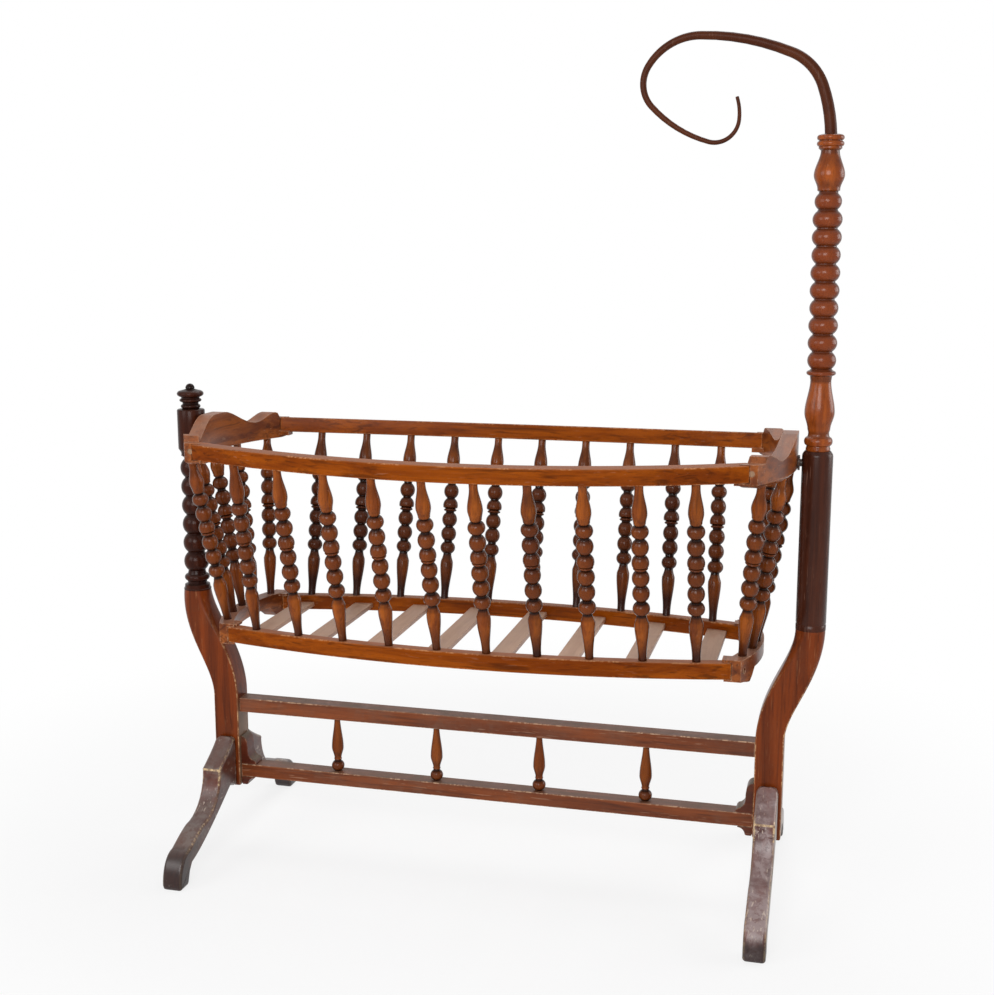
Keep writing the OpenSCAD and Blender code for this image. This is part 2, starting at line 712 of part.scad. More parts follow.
// Elevation of the top board over the rail's upper face at distance y from the middle
function top_edge(y) =
  let (w = top_board_half_w, crown = w * 0.1, valley = w * 0.62, ear_mid = w * 0.855, ear_end = w - rail_t,
       low = -valley_drop)
  y < crown ? hump_h
  : y < valley ? mix(hump_h, low, ease((y - crown) / (valley - crown)))
  : y < ear_mid ? mix(low, ear_h, ease((y - valley) / (ear_mid - valley)))
  : y < ear_end ? ear_h * sqrt(1 - pow((y - ear_mid) / (ear_end - ear_mid), 2))
  : 0;

module top_board_outline() {
  w = top_board_half_w;
  edge = [for (k = [-40:40]) let (y = w * k / 40) [y, top_rail_z + top_edge(abs(y))]];
  low = top_board_low_z;
  polygon(concat(edge,
    [for (a = [0:15:90]) [w - 22 + 22 * cos(a), low + 8 - 8 * sin(a)]],
    [for (a = [90:15:180]) [-w + 22 + 22 * cos(a), low + 8 - 8 * sin(a)]]));
}

// Tongue of the top board under each rail's end
module top_tongue() {
  long = 15;
  rise = 4.5;
  translate([top_tip_x - board_t - long + 4, top_half_w - rail_t / 2 - 2, top_board_low_z + rise])
    cube([long + 8, rail_t - 1, top_board_drop - rail_h - rise + 2.6]);
}

module top_board() {
  color(wood_red) difference() {
    union() {
      intersection() {
        curved_plank(board_x, top_board_r, top_board_low_z - 1, top_rail_z + hump_h + 1, board_chamfer);
        rotate([90, 0, 90]) linear_extrude(board_x + 10) top_board_outline();
      }
      for (s = SIDES) on_side(s) top_tongue();
    }
    for (s = SIDES) on_side(s) {
      top_rail_blank(glue_gap);
      top_screw(glue_gap);
    }
    for (y = end_ys()) sockets(end_bottom(y), end_top(y), end_head_socket);
    pivot_pin(glue_gap);
  }
}

module bottom_board_outline() {
  w = bottom_board_half_w;
  low = bottom_low_z;
  lobe_y = w * 0.74;
  half = [for (k = [0:12]) let (y = w * k / 12)
    [y, y < lobe_y * 0.78 ? low + arch_h
        : y < lobe_y ? mix(low + arch_h, low - lobe_h, ease((y - lobe_y * 0.78) / (lobe_y * 0.22)))
        : mix(low - lobe_h, low - 3, ease((y - lobe_y) / (w - lobe_y)))]];
  polygon(concat(
    [[-w, bottom_board_top_z], [w, bottom_board_top_z]],
    [for (k = [12:-1:1]) half[k]],
    [for (k = [0:12]) [-half[k].x, half[k].y]]));
}

// Thin lip of the bottom board over each rail's end
module bottom_lip() {
  long = 12;
  translate([bottom_tip_x - board_t - long + 6, bottom_half_w - rail_t / 2 - 6, bottom_rail_z + glue_gap])
    cube([long + 8, rail_t + 3, bottom_board_lift - glue_gap - ledge]);
}

module bottom_board() {
  color(wood_red) difference() {
    union() {
      intersection() {
        curved_plank(bottom_board_x, bottom_board_r, bottom_low_z - lobe_h - 1, bottom_board_top_z + 1);
        rotate([90, 0, 90]) linear_extrude(bottom_board_x + 10) bottom_board_outline();
      }
      for (s = SIDES) on_side(s) bottom_lip();
    }
    for (s = SIDES) on_side(s) {
      bottom_rail_blank(glue_gap);
      bottom_screw(glue_gap);
    }
    for (y = end_ys()) sockets(end_bottom(y), end_top(y), end_head_socket);
  }
}

// ---- tub spindles --------------------------------------------------------

// Spindle along +Z: foot in the bottom piece, beads, vases, and a plain neck into the top piece
module spindle(long, head = head_socket) {
  b = bead_d / 2;
  v = vase_d / 2;
  w = lower_vase_d / 2;
  f = foot_d / 2;
  n = neck_d / 2;
  neck = b * 0.54;
  step = bead_pitch;
  first = first_bead;
  last = first + 5 * step;
  low = lower_vase_rise;
  turned(concat(
    [[0, -foot_socket + 1], [f, -foot_socket + 1], [f, 0], [f, 6]],
    swell(6, f, low, w, 7),
    [[w, low]],
    swell(low, w, first - step * 0.5 - 1, neck + 0.5, 4),
    [[neck, first - step * 0.5]],
    [for (i = [0:5]) each ball(first + step * i, i % 5 == 0 ? step * 0.40 : step * 0.48, b, neck)],
    [[neck, last + step * 0.44], [neck + 2, last + step * 0.52]],
    swell(last + step * 0.52, neck + 2, last + step * 1.15, v, 5),
    [[v, last + step * 1.15]],
    swell(last + step * 1.15, v, long - 8, n, 7),
    [[n, long - 8], [n, long + head - 1], [0, long + head - 1]]));
}

module side_spindle(s, i) {
  a = bottom_point(side_x(i));
  b = top_point(side_x(i));
  color(wood_orange) on_side(s) along(a, b) spindle(norm(b - a));
}

function end_ys() = [-2, -1, 0, 1, 2];
function board_mid(x, r, y) = x - r + sqrt(pow(r - board_t / 2, 2) - y * y);
function end_bottom(k) =
  let (y = abs(k) == 2 ? sign(k) * corner_bottom : k * end_pitch_bottom)
  [board_mid(bottom_board_x, bottom_board_r, y), y, bottom_board_top_z];
function end_top(k) =
  let (y = abs(k) == 2 ? sign(k) * corner_top : k * end_pitch_top)
  [board_mid(board_x, top_board_r, y), y, top_board_low_z];

module end_spindles(e) {
  color(wood_orange) on_end(e) for (k = end_ys())
    along(end_bottom(k), end_top(k)) spindle(norm(end_top(k) - end_bottom(k)), end_head_socket);
}

// ---- pivots and screws ---------------------------------------------------

// Pin from inside the board's thickness into the post
module pivot_pin(grow = 0) {
  inner = board_t * 0.7;
  translate([board_x - inner - grow, 0, pivot_z]) rotate([0, 90, 0])
    cylinder(d = pivot_d + 2 * grow, h = inner + board_gap + pivot_grip + grow);
}

module pivot(e) {
  color(metal_dark) on_end(e) {
    pivot_pin();
    translate([board_x, 0, pivot_z]) rotate([0, 90, 0]) cylinder(d = pivot_collar_d, h = board_gap / 2);
  }
}

// Countersunk screw along -Z from its head; a hole for it is open above the head
module screw(long, grow = 0) {
  translate([0, 0, -long]) cylinder(d = screw_d + 2 * grow, h = long);
  translate([0, 0, -screw_head_h])
    cylinder(d1 = screw_d + 2 * grow, d2 = screw_head_d + 2 * grow, h = screw_head_h);
  if (grow > 0) cylinder(d = screw_head_d + 2 * grow, h = screw_d * 2);
}

// Screw across the top board's tip, through the rail's tenon
module top_screw(grow = 0) {
  translate([top_half_len + rail_tenon_len * 0.55, top_board_half_w - 1, top_rail_mid_z])
    rotate([-90, 0, 0]) screw(26, grow);
}

// Screw through the bottom board's outer face, along the rail
module bottom_screw(grow = 0) {
  face = bottom_board_x - bottom_board_r + sqrt(pow(bottom_board_r, 2) - pow(bottom_half_w, 2));
  translate([face - 1, bottom_half_w, bottom_rail_z - rail_h / 2])
    rotate([0, 90, 0]) screw(face - bottom_half_len + 20, grow);
}

module frame_screws() {
  color(metal_dark) for (e = ENDS, s = SIDES) on_end(e) on_side(s) {
    top_screw();
    bottom_screw();
  }
}

// ---- every node ----------------------------------------------------------

foot_post();
head_post();
canopy_pole();
canopy_rod();
color(wood_brown) stretcher(upper_z, upper_h);  // upper_stretcher
color(wood_brown) stretcher(lower_z, lower_h);  // lower_stretcher
for (i = [1:small_count]) {
  small_spindle(i);
}
for (e = ENDS, s = SIDES) {
  on_end(e) on_side(s) leg();
}
for (e = ENDS) {
  on_end(e) upper_bracket();
  on_end(e) lower_bracket();
  on_end(e) top_board();
  on_end(e) bottom_board();
  end_spindles(e);
  pivot(e);
}
leg_dowels();
for (s = SIDES) {
  top_rail(s);
  bottom_rail(s);
  for (i = [1:side_count]) {
    side_spindle(s, i);
  }
}
for (i = [1:slat_count]) {
  slat(i);
}
frame_screws();
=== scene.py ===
import math
import random

import bmesh
import bpy
from mathutils import Matrix, Vector


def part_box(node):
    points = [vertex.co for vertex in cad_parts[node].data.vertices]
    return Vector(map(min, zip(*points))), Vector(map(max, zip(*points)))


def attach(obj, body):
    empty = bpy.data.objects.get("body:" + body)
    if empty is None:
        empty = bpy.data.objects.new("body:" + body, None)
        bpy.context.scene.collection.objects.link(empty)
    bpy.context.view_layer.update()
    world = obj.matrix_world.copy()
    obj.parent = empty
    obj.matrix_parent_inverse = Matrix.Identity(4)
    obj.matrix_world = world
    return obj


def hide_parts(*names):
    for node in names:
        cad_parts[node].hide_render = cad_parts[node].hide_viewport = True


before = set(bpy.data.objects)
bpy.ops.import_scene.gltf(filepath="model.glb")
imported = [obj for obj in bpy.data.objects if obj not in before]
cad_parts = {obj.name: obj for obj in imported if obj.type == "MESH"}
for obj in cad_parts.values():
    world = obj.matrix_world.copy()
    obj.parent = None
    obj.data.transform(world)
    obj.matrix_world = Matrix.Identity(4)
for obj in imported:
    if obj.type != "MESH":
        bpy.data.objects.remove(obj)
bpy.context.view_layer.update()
scene = bpy.context.scene
print("frame loaded")

# sizes are in millimetres until a piece is set down in the scene

# small helpers for node trees

def wire(tree, kind, inputs=None, **settings):
    node = tree.nodes.new(kind)
    for key, value in settings.items():
        setattr(node, key, value)
    for key, value in (inputs or {}).items():
        socket = node.inputs[key]
        if isinstance(value, bpy.types.NodeSocket):
            tree.links.new(value, socket)
        else:
            socket.default_value = value
    return node


def sums(tree, operation, a, b=0.0, clamp=False):
    return wire(tree, "ShaderNodeMath", {0: a, 1: b}, operation=operation, use_clamp=clamp).outputs[0]


def ramp(tree, value, low, high, toLow=0.0, toHigh=1.0):
    node = wire(tree, "ShaderNodeMapRange", {0: value, 1: low, 2: high, 3: toLow, 4: toHigh}, clamp=True)
    node.interpolation_type = "SMOOTHSTEP"
    return node.outputs[0]


def tint(tree, factor, under, over):
    node = wire(tree, "ShaderNodeMix", data_type="RGBA", blend_type="MIX", clamp_factor=True)
    for socket, value in ((node.inputs[0], factor), (node.inputs[6], under), (node.inputs[7], over)):
        if isinstance(value, bpy.types.NodeSocket):
            tree.links.new(value, socket)
        else:
            socket.default_value = value
    return node.outputs[2]


def cloud(tree, vector, scale, detail=4.0, roughness=0.6, distortion=0.0):
    inputs = {"Vector": vector, "Scale": scale, "Detail": detail, "Roughness": roughness,
              "Distortion": distortion}
    return wire(tree, "ShaderNodeTexNoise", inputs).outputs[0]


def stretched(tree, vector, scale):
    return wire(tree, "ShaderNodeMapping", {"Vector": vector, "Scale": scale}).outputs[0]


def startGroup(name, inputs, outputs):
    group = bpy.data.node_groups.new(name, "ShaderNodeTree")
    for label, kind, value in inputs:
        socket = group.interface.new_socket(label, in_out="INPUT", socket_type="NodeSocket" + kind)
        if value is not None:
            socket.default_value = value
    for label, kind in outputs:
        group.interface.new_socket(label, in_out="OUTPUT", socket_type="NodeSocket" + kind)
    return group, group.nodes.new("NodeGroupInput").outputs, group.nodes.new("NodeGroupOutput").inputs


# effects shared by the finishes

def makeFigure():
    group, given, out = startGroup(
        "wood_figure",
        [("Vector", "Vector", None), ("Light", "Color", (0.3, 0.1, 0.03, 1)),
         ("Mid", "Color", (0.2, 0.06, 0.02, 1)), ("Dark", "Color", (0.05, 0.015, 0.008, 1)),
         ("Streaks", "Float", 0.5)],
        [("Color", "Color"), ("Height", "Float")])
    broad = cloud(group, given["Vector"], 0.32, 3, 0.5, 0.5)
    fine = cloud(group, given["Vector"], 1.9, 4, 0.6, 0.3)
    pores = cloud(group, given["Vector"], 8.0, 2, 0.5)
    streak = cloud(group, given["Vector"], 0.75, 3, 0.5, 1.0)
    base = tint(group, ramp(group, broad, 0.34, 0.66), given["Mid"], given["Light"])
    base = tint(group, sums(group, "MULTIPLY", ramp(group, fine, 0.48, 0.74), 0.34), base, given["Dark"])
    poreMask = ramp(group, pores, 0.58, 0.74)
    base = tint(group, sums(group, "MULTIPLY", poreMask, 0.22), base, given["Dark"])
    streakMask = sums(group, "MULTIPLY", ramp(group, streak, 0.52, 0.70), given["Streaks"])
    base = tint(group, streakMask, base, given["Dark"])
    group.links.new(base, out["Color"])
    lift = sums(group, "SUBTRACT", sums(group, "MULTIPLY", fine, 0.5), sums(group, "MULTIPLY", poreMask, 0.5))
    group.links.new(lift, out["Height"])
    return group


def makeWornEdge():
    group, given, out = startGroup(
        "worn_edge",
        [("Vector", "Vector", None), ("Edge", "Float", 0.0), ("Amount", "Float", 0.6),
         ("Chip Scale", "Float", 150.0)],
        [("Mask", "Float")])
    chips = ramp(group, cloud(group, given["Vector"], given["Chip Scale"], 5, 0.7), 0.46, 0.58)
    patches = ramp(group, cloud(group, given["Vector"], 20.0, 2, 0.5), 0.38, 0.62)
    kept = sums(group, "ADD", sums(group, "MULTIPLY", sums(group, "MULTIPLY", chips, patches), 0.85), 0.12)
    worn = sums(group, "MULTIPLY", sums(group, "MULTIPLY", given["Edge"], kept), given["Amount"], clamp=True)
    group.links.new(worn, out["Mask"])
    return group


def makeScratches():
    group, given, out = startGroup(
        "scratch_marks",
        [("Vector", "Vector", None), ("Amount", "Float", 0.4)],
        [("Mask", "Float")])
    lines = ramp(group, cloud(group, given["Vector"], 1.0, 2, 0.4, 0.2), 0.645, 0.70)
    ticks = ramp(group, cloud(group, given["Vector"], 2.6, 3, 0.5, 0.6), 0.67, 0.72)
    patch = ramp(group, cloud(group, given["Vector"], 0.12, 2, 0.5), 0.40, 0.62)
    both = sums(group, "MAXIMUM", lines, ticks)
    mask = sums(group, "MULTIPLY", sums(group, "MULTIPLY", both, patch), given["Amount"], clamp=True)
    group.links.new(mask, out["Mask"])
    return group


# dull aged film with a painted sheen: pale on upward faces, where the bright sky is reflected, and in
# blotches
def makeFilmAndSheen():
    group, given, out = startGroup(
        "aged_film",
        [("Vector", "Vector", None), ("Normal", "Vector", None), ("Upward", "Float", 0.5),
         ("Blotches", "Float", 0.3)],
        [("Mask", "Float")])
    up = wire(group, "ShaderNodeSeparateXYZ", {0: given["Normal"]}).outputs[2]
    lying = ramp(group, up, 0.25, 0.95)
    mottle = ramp(group, cloud(group, given["Vector"], 34.0, 5, 0.65, 0.4), 0.32, 0.66)
    wide = ramp(group, cloud(group, given["Vector"], 9.0, 3, 0.55, 0.3), 0.42, 0.7)
    first = sums(group, "MULTIPLY", sums(group, "MULTIPLY", lying, given["Upward"]),
                 sums(group, "ADD", sums(group, "MULTIPLY", mottle, 0.5), 0.5))
    second = sums(group, "MULTIPLY", sums(group, "MULTIPLY", wide, mottle), given["Blotches"])
    group.links.new(sums(group, "ADD", first, second, clamp=True), out["Mask"])
    return group


figureGroup = makeFigure()
edgeGroup = makeWornEdge()
scratchGroup = makeScratches()
filmGroup = makeFilmAndSheen()


def paint(red, green, blue):
    def linear(level):
        level = level / 255
        return level / 12.92 if level <= 0.04045 else ((level + 0.055) / 1.055) ** 2.4
    return (linear(red), linear(green), linear(blue), 1)


def grainAlong(axis):
    return tuple(9 if name == axis else 170 for name in "xyz")  # the figure is drawn out along the grain


def useGroup(tree, group, inputs):
    node = tree.nodes.new("ShaderNodeGroup")
    node.node_tree = group
    for key, value in inputs.items():
        if isinstance(value, bpy.types.NodeSocket):
            tree.links.new(value, node.inputs[key])
        else:
            node.inputs[key].default_value = value
    return node.outputs


plainLook = {"grain": "x", "light": (168, 88, 36), "mid": (134, 64, 26), "dark": (78, 34, 18),
             "streaks": 0.35, "bead": (96, 40, 26), "groove": (24, 11, 9), "grooveDepth": 0.9,
             "edge": (196, 158, 118), "edgeAmount": 0.5, "bevelled": 0.0, "chipScale": 150.0,
             "scratch": (190, 150, 122), "scratchAmount": 0.25, "scratchGrain": (420, 420, 26),
             "film": (150, 112, 96), "upward": 0.4, "blotches": 0.12, "filmScale": 1.0,
             "roughness": 0.3, "filmRoughness": 0.22, "gloss": 0.5, "bump": 0.2, "rim": 0.0}


def edgeMask(tree, width):
    if not width:
        return wire(tree, "ShaderNodeAttribute", attribute_name="edge").outputs["Fac"]
    rounded = wire(tree, "ShaderNodeBevel", {"Radius": width}, samples=4).outputs[0]
    normal = tree.nodes.new("ShaderNodeNewGeometry").outputs["Normal"]
    along = wire(tree, "ShaderNodeVectorMath", {0: rounded, 1: normal}, operation="DOT_PRODUCT")
    return ramp(tree, sums(tree, "SUBTRACT", 1.0, along.outputs["Value"]), 0.015, 0.16)


def makeWood(name, **changes):
    look = dict(plainLook, **changes)
    material = bpy.data.materials.new(name)
    material.use_nodes = True
    tree = material.node_tree
    shader = tree.nodes["Principled BSDF"]
    coords = tree.nodes.new("ShaderNodeTexCoord").outputs
    grain = look["grain"]
    grainScale = grainAlong(grain) if isinstance(grain, str) else grain
    figure = useGroup(tree, figureGroup, {
        "Vector": stretched(tree, coords["Object"], grainScale), "Light": paint(*look["light"]),
        "Mid": paint(*look["mid"]), "Dark": paint(*look["dark"]), "Streaks": look["streaks"]})
    scratch = useGroup(tree, scratchGroup, {
        "Vector": stretched(tree, coords["Object"], look["scratchGrain"]),
        "Amount": look["scratchAmount"]})["Mask"]
    filmInputs = {0: coords["Object"], 3: look["filmScale"]}
    filmPlace = wire(tree, "ShaderNodeVectorMath", filmInputs, operation="SCALE").outputs[0]
    film = useGroup(tree, filmGroup, {
        "Vector": filmPlace, "Normal": coords["Normal"], "Upward": look["upward"],
        "Blotches": look["blotches"]})["Mask"]
    edge = useGroup(tree, edgeGroup, {
        "Vector": coords["Object"], "Edge": edgeMask(tree, look["bevelled"]), "Amount": look["edgeAmount"],
        "Chip Scale": look["chipScale"]})["Mask"]
    red = wire(tree, "ShaderNodeAttribute", attribute_name="redder").outputs["Fac"]
    groove = wire(tree, "ShaderNodeAttribute", attribute_name="groove").outputs["Fac"]
    tone = wire(tree, "ShaderNodeAttribute", attribute_name="tone").outputs["Fac"]
    # redder mask: the beads' own redder colour; on posts and legs it marks the pale right-facing side, worn
    # varnish with a painted sheen
    color = tint(tree, sums(tree, "MULTIPLY", red, 0.75), figure["Color"], paint(*look["bead"]))
    # tone darkens towards the dark colour: random tone per piece, darker towards spindle bottoms, and painted
    # shade on the back row of tub spindles
    color = tint(tree, tone, color, paint(*look["dark"]))
    # pale film: dust and dull varnish with a painted sheen on upward faces and in blotches
    color = tint(tree, film, color, paint(*look["film"]))
    color = tint(tree, scratch, color, paint(*look["scratch"]))
    color = tint(tree, edge, color, paint(*look["edge"]))
    # necks of turned pieces get painted shade and grime, leg toes get their dark dirt
    color = tint(tree, sums(tree, "MULTIPLY", groove, look["grooveDepth"]), color, paint(*look["groove"]))
    # painted shade at the silhouettes: the base colour darkens towards grazing view
    facing = wire(tree, "ShaderNodeLayerWeight", {"Blend": 0.5}).outputs["Facing"]
    color = tint(tree, ramp(tree, facing, 0.3, 0.95, 0.0, look["rim"]), color, paint(*look["groove"]))
    tree.links.new(color, shader.inputs["Base Color"])
    matte = sums(tree, "MAXIMUM", film, edge)
    rough = ramp(tree, matte, 0.0, 1.0, look["roughness"], look["roughness"] + look["filmRoughness"])
    tree.links.new(rough, shader.inputs["Roughness"])
    dents = sums(tree, "MULTIPLY", sums(tree, "MAXIMUM", scratch, edge), 0.8)
    height = sums(tree, "SUBTRACT", figure["Height"], dents)
    bump = wire(tree, "ShaderNodeBump", {"Strength": look["bump"], "Distance": 0.0006, "Height": height})
    tree.links.new(bump.outputs[0], shader.inputs["Normal"])
    shader.inputs["Specular IOR Level"].default_value = look["gloss"]
    shader.inputs["IOR"].default_value = 1.5
    return material


ironLook = {"bare": (58, 54, 52), "rust": (92, 58, 40), "patchScale": 260, "grainScale": 900,
            "roughness": (0.42, 0.75), "metallic": (0.85, 0.1), "bump": 0.3}


def makeIron(look):
    material = bpy.data.materials.new("blackened_iron")
    material.use_nodes = True
    tree = material.node_tree
    shader = tree.nodes["Principled BSDF"]
    coords = tree.nodes.new("ShaderNodeTexCoord").outputs
    rust = ramp(tree, cloud(tree, coords["Object"], look["patchScale"], 5, 0.65), 0.45, 0.62)
    fine = cloud(tree, coords["Object"], look["grainScale"], 3, 0.6)
    color = tint(tree, rust, paint(*look["bare"]), paint(*look["rust"]))
    tree.links.new(color, shader.inputs["Base Color"])
    tree.links.new(ramp(tree, rust, 0, 1, *look["roughness"]), shader.inputs["Roughness"])
    tree.links.new(ramp(tree, rust, 0, 1, *look["metallic"]), shader.inputs["Metallic"])
    bump = wire(tree, "ShaderNodeBump", {"Strength": look["bump"], "Distance": 0.0003, "Height": fine})
    tree.links.new(bump.outputs[0], shader.inputs["Normal"])
    return material


legLook = {"grain": (90, 14, 40), "light": (106, 54, 42), "mid": (80, 38, 33), "dark": (34, 17, 16),
           # bead colour here is the pale right-facing side: worn varnish with a painted sheen
           "streaks": 0.6, "bead": (160, 148, 128), "edge": (210, 180, 138), "edgeAmount": 1.0,
           "film": (148, 130, 128), "upward": 0.7, "blotches": 1.5, "filmScale": 2.6,
           "scratch": (206, 188, 172), "scratchAmount": 0.7, "scratchGrain": (300, 60, 120),
           "roughness": 0.28, "filmRoughness": 0.08, "bump": 0.35, "gloss": 0.4, "rim": 0.3}
footLegLook = dict(legLook, light=(92, 46, 33), film=(112, 97, 90), blotches=1.1)

finishes = {
    "post": makeWood(
        "post_varnish", grain="z", light=(122, 52, 12), mid=(96, 39, 9), dark=(44, 16, 6), streaks=0.45,
        # bead colour here is the pale right-facing side: worn varnish with a painted sheen
        bead=(134, 116, 96), edge=(196, 154, 112), edgeAmount=0.8, scratch=(176, 120, 80), scratchAmount=0.25,
        film=(104, 74, 54), upward=0.4, blotches=0.1, gloss=0.15, bump=0.1),
    "column": makeWood(
        "dark_column_varnish", grain="z", light=(74, 35, 20), mid=(58, 26, 15), dark=(30, 12, 8), streaks=0.3,
        scratch=(150, 110, 92), scratchAmount=0.3, edgeAmount=0.3, film=(86, 62, 52), upward=0.3,
        blotches=0.12, roughness=0.24, bump=0.1, rim=0.6, gloss=0.15),
    "footTurned": makeWood(
        "foot_turning_varnish", grain="z", light=(64, 27, 12), mid=(50, 19, 9), dark=(26, 10, 7), streaks=0.3,
        scratch=(130, 90, 76), scratchAmount=0.12, edgeAmount=0.3, film=(70, 54, 48), upward=0.4,
        blotches=0.1, roughness=0.22, gloss=0.1, bump=0.08, rim=0.5),
    "pole": makeWood(
        "pole_varnish", grain="z", light=(160, 78, 24), mid=(126, 56, 15), dark=(62, 25, 9), streaks=0.3,
        bead=(116, 50, 19), edgeAmount=0.25, scratchAmount=0.12, upward=0.1, blotches=0.06, roughness=0.22,
        bump=0.08, rim=0.6, gloss=0.2),
    "rod": makeWood(
        "rod_varnish", grain=(26, 26, 26), light=(84, 42, 22), mid=(70, 33, 17), dark=(46, 20, 12),
        streaks=0.1, edgeAmount=0.0, film=(80, 48, 30), upward=0.05, blotches=0.05, roughness=0.4,
        scratchAmount=0.1, gloss=0.08, bump=0.1, rim=0.4),
    "stretcher": makeWood(
        "stretcher_varnish", grain="x", light=(128, 64, 28), mid=(100, 47, 20), dark=(44, 19, 10),
        streaks=0.5, edge=(196, 160, 130), edgeAmount=0.9, film=(102, 80, 66), upward=0.7, blotches=0.45,
        bump=0.1, scratchGrain=(26, 420, 420), scratchAmount=0.3, gloss=0.25),
    "spindle": makeWood(
        "spindle_varnish", grain="z", light=(154, 79, 21), mid=(120, 56, 15), dark=(48, 19, 8), streaks=0.35,
        bead=(100, 46, 13), edgeAmount=0.12, scratchAmount=0.1, upward=0.05, blotches=0.04, roughness=0.2,
        bump=0.06, groove=(24, 9, 6), grooveDepth=1.0, gloss=0.14, rim=0.75),
    "leg": makeWood("worn_leg_varnish", **legLook),
    "footLeg": makeWood("dark_leg_varnish", **footLegLook),
    "bracket": makeWood(
        "bracket_varnish", grain="x", light=(92, 38, 18), mid=(74, 28, 13), dark=(36, 14, 9),
        edge=(160, 122, 94), edgeAmount=0.5, film=(92, 84, 66), upward=0.75, blotches=0.45, bump=0.1,
        scratchGrain=(26, 420, 420), gloss=0.25),
    "dowel": makeWood(
        "bare_dowel", grain="y", light=(196, 150, 100), mid=(176, 128, 82), dark=(130, 88, 54),
        edgeAmount=0.2),
    "rail": makeWood(
        "rail_varnish", grain="x", light=(146, 70, 8), mid=(114, 49, 5), dark=(60, 24, 4), streaks=0.6,
        edge=(200, 148, 104), edgeAmount=0.6, film=(156, 108, 82), upward=0.7, blotches=0.02,
        scratchGrain=(26, 420, 420), scratchAmount=0.12, roughness=0.22, gloss=0.05, filmRoughness=0.3,
        bump=0.06),
    "board": makeWood(
        "board_varnish", grain="y", light=(146, 78, 30), mid=(100, 46, 16), dark=(48, 21, 10), streaks=0.55,
        edge=(204, 164, 132), edgeAmount=0.9, bevelled=0.0028, film=(150, 110, 90), upward=0.7, blotches=0.08,
        scratchGrain=(420, 26, 420), scratchAmount=0.25, gloss=0.18, bump=0.08),
    "slat": makeWood(
        "slat_wood", grain="y", light=(184, 142, 116), mid=(162, 118, 92), dark=(112, 72, 50), streaks=0.3,
        edge=(200, 168, 136), edgeAmount=0.4, film=(182, 150, 126), upward=0.6, scratchGrain=(420, 26, 420),
        scratchAmount=0.3, roughness=0.42),
    "putty": makeWood(
        "filled_screw_hole", grain="z", light=(150, 116, 84), mid=(128, 92, 62), dark=(84, 52, 34),
        edgeAmount=0.2, scratchAmount=0.1, roughness=0.5),
    "iron": makeIron(ironLook),
}
print("finishes made")

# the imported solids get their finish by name

def finishOf(node):
    if "leg_dowels" in node:
        return "dowel"
    if "screws" in node:
        return "putty"
    if "pivot" in node:
        return "iron"
    for word in ("spindle", "leg", "bracket", "stretcher", "rail", "board", "slat", "rod", "pole", "post"):
        if word in node:
            return word
    return "post"


for nodeName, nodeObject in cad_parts.items():
    nodeObject.data.materials.clear()
    nodeObject.data.materials.append(finishes[finishOf(nodeName)])

# shaping helpers

def startPiece():
    bm = bmesh.new()
    for layer in ("groove", "redder", "tone"):
        bm.verts.layers.float.new(layer)
    bm.faces.layers.float.new("edge")
    return bm


def ease(t):
    return t * t * (3 - 2 * t)


def mix(a, b, t):
    return a + (b - a) * t


def bead(z, half, radius, neck, step=10):
    turns = [math.radians(a) for a in range(-80, 81, step)]
    return [(neck + (radius - neck) * math.cos(a), z + half * math.sin(a)) for a in turns]


def ball(z, half, radius, neck, count=14):
    most = math.acos(neck / radius)
    turns = [most * (2 * k / count - 1) for k in range(count + 1)]
    return [(radius * math.cos(a), z + half * math.sin(a) / math.sin(most)) for a in turns]


def swell(z0, r0, z1, r1, count=9):
    return [(mix(r0, r1, ease(k / count)), mix(z0, z1, k / count)) for k in range(1, count)]


def newVerts(bm, known):
    return [v for v in bm.verts if v not in known]


turningDims = {"grooveDepth": 0.36, "grooveFrom": 0.2, "redFade": 5, "bottomDarkHeight": 48}


def turnProfile(bm, profile, steps=40, reach=9.0, red=(), tone=0.0, darkenBottom=0.0):
    groove, redder, shade = (bm.verts.layers.float[name] for name in ("groove", "redder", "tone"))
    known = set(bm.verts)
    fade = turningDims["redFade"]
    line = []
    for radius, height in profile:
        vert = bm.verts.new((radius, 0, height))
        # painted shade and grime in the necks between beads: the narrower the radius against its neighbours,
        # the darker
        widest = max(r for r, z in profile if abs(z - height) <= reach)
        depth = (widest - radius) / (turningDims["grooveDepth"] * widest) - turningDims["grooveFrom"]
        vert[groove] = min(1.0, max(0.0, depth)) if radius > 0 else 0.0
        inside = [min(1.0, (height - low) / fade, (high - height) / fade) for low, high in red]
        vert[redder] = max([0.0] + inside)
        # darker towards the bottom end of the piece
        vert[shade] = min(1.0, tone + darkenBottom * max(0.0, 1 - max(0, height) / turningDims["bottomDarkHeight"]))
        line.append(vert)
    edges = [bm.edges.new(pair) for pair in zip(line, line[1:])]
    bmesh.ops.spin(bm, geom=line + edges, cent=(0, 0, 0), axis=(0, 0, 1), angle=2 * math.pi, steps=steps,
                   use_merge=True, use_duplicate=False)
    made = newVerts(bm, known)
    bmesh.ops.remove_doubles(bm, verts=made, dist=0.001)
    return newVerts(bm, known)


def bevelEdges(bm, edges, width, segments):
    return bmesh.ops.bevel(bm, geom=edges, offset=width, offset_type="OFFSET", affect="EDGES",
                           segments=segments, profile=0.5, material=-1, clamp_overlap=True)["faces"]


def roundEdges(bm, width, angle=60):
    sharp = [e for e in bm.edges if len(e.link_faces) == 2 and e.calc_face_angle(0) > math.radians(angle)]
    rounded = bevelEdges(bm, sharp, width, 2)
    layer = bm.faces.layers.float["edge"]
    for face in rounded:
        face[layer] = 1.0


def pullFace(bm, face):
    made = bmesh.ops.extrude_face_region(bm, geom=[face, *face.edges])["geom"]
    face = next(f for f in made if isinstance(f, bmesh.types.BMFace))
    return face, [v for v in made if isinstance(v, bmesh.types.BMVert)]


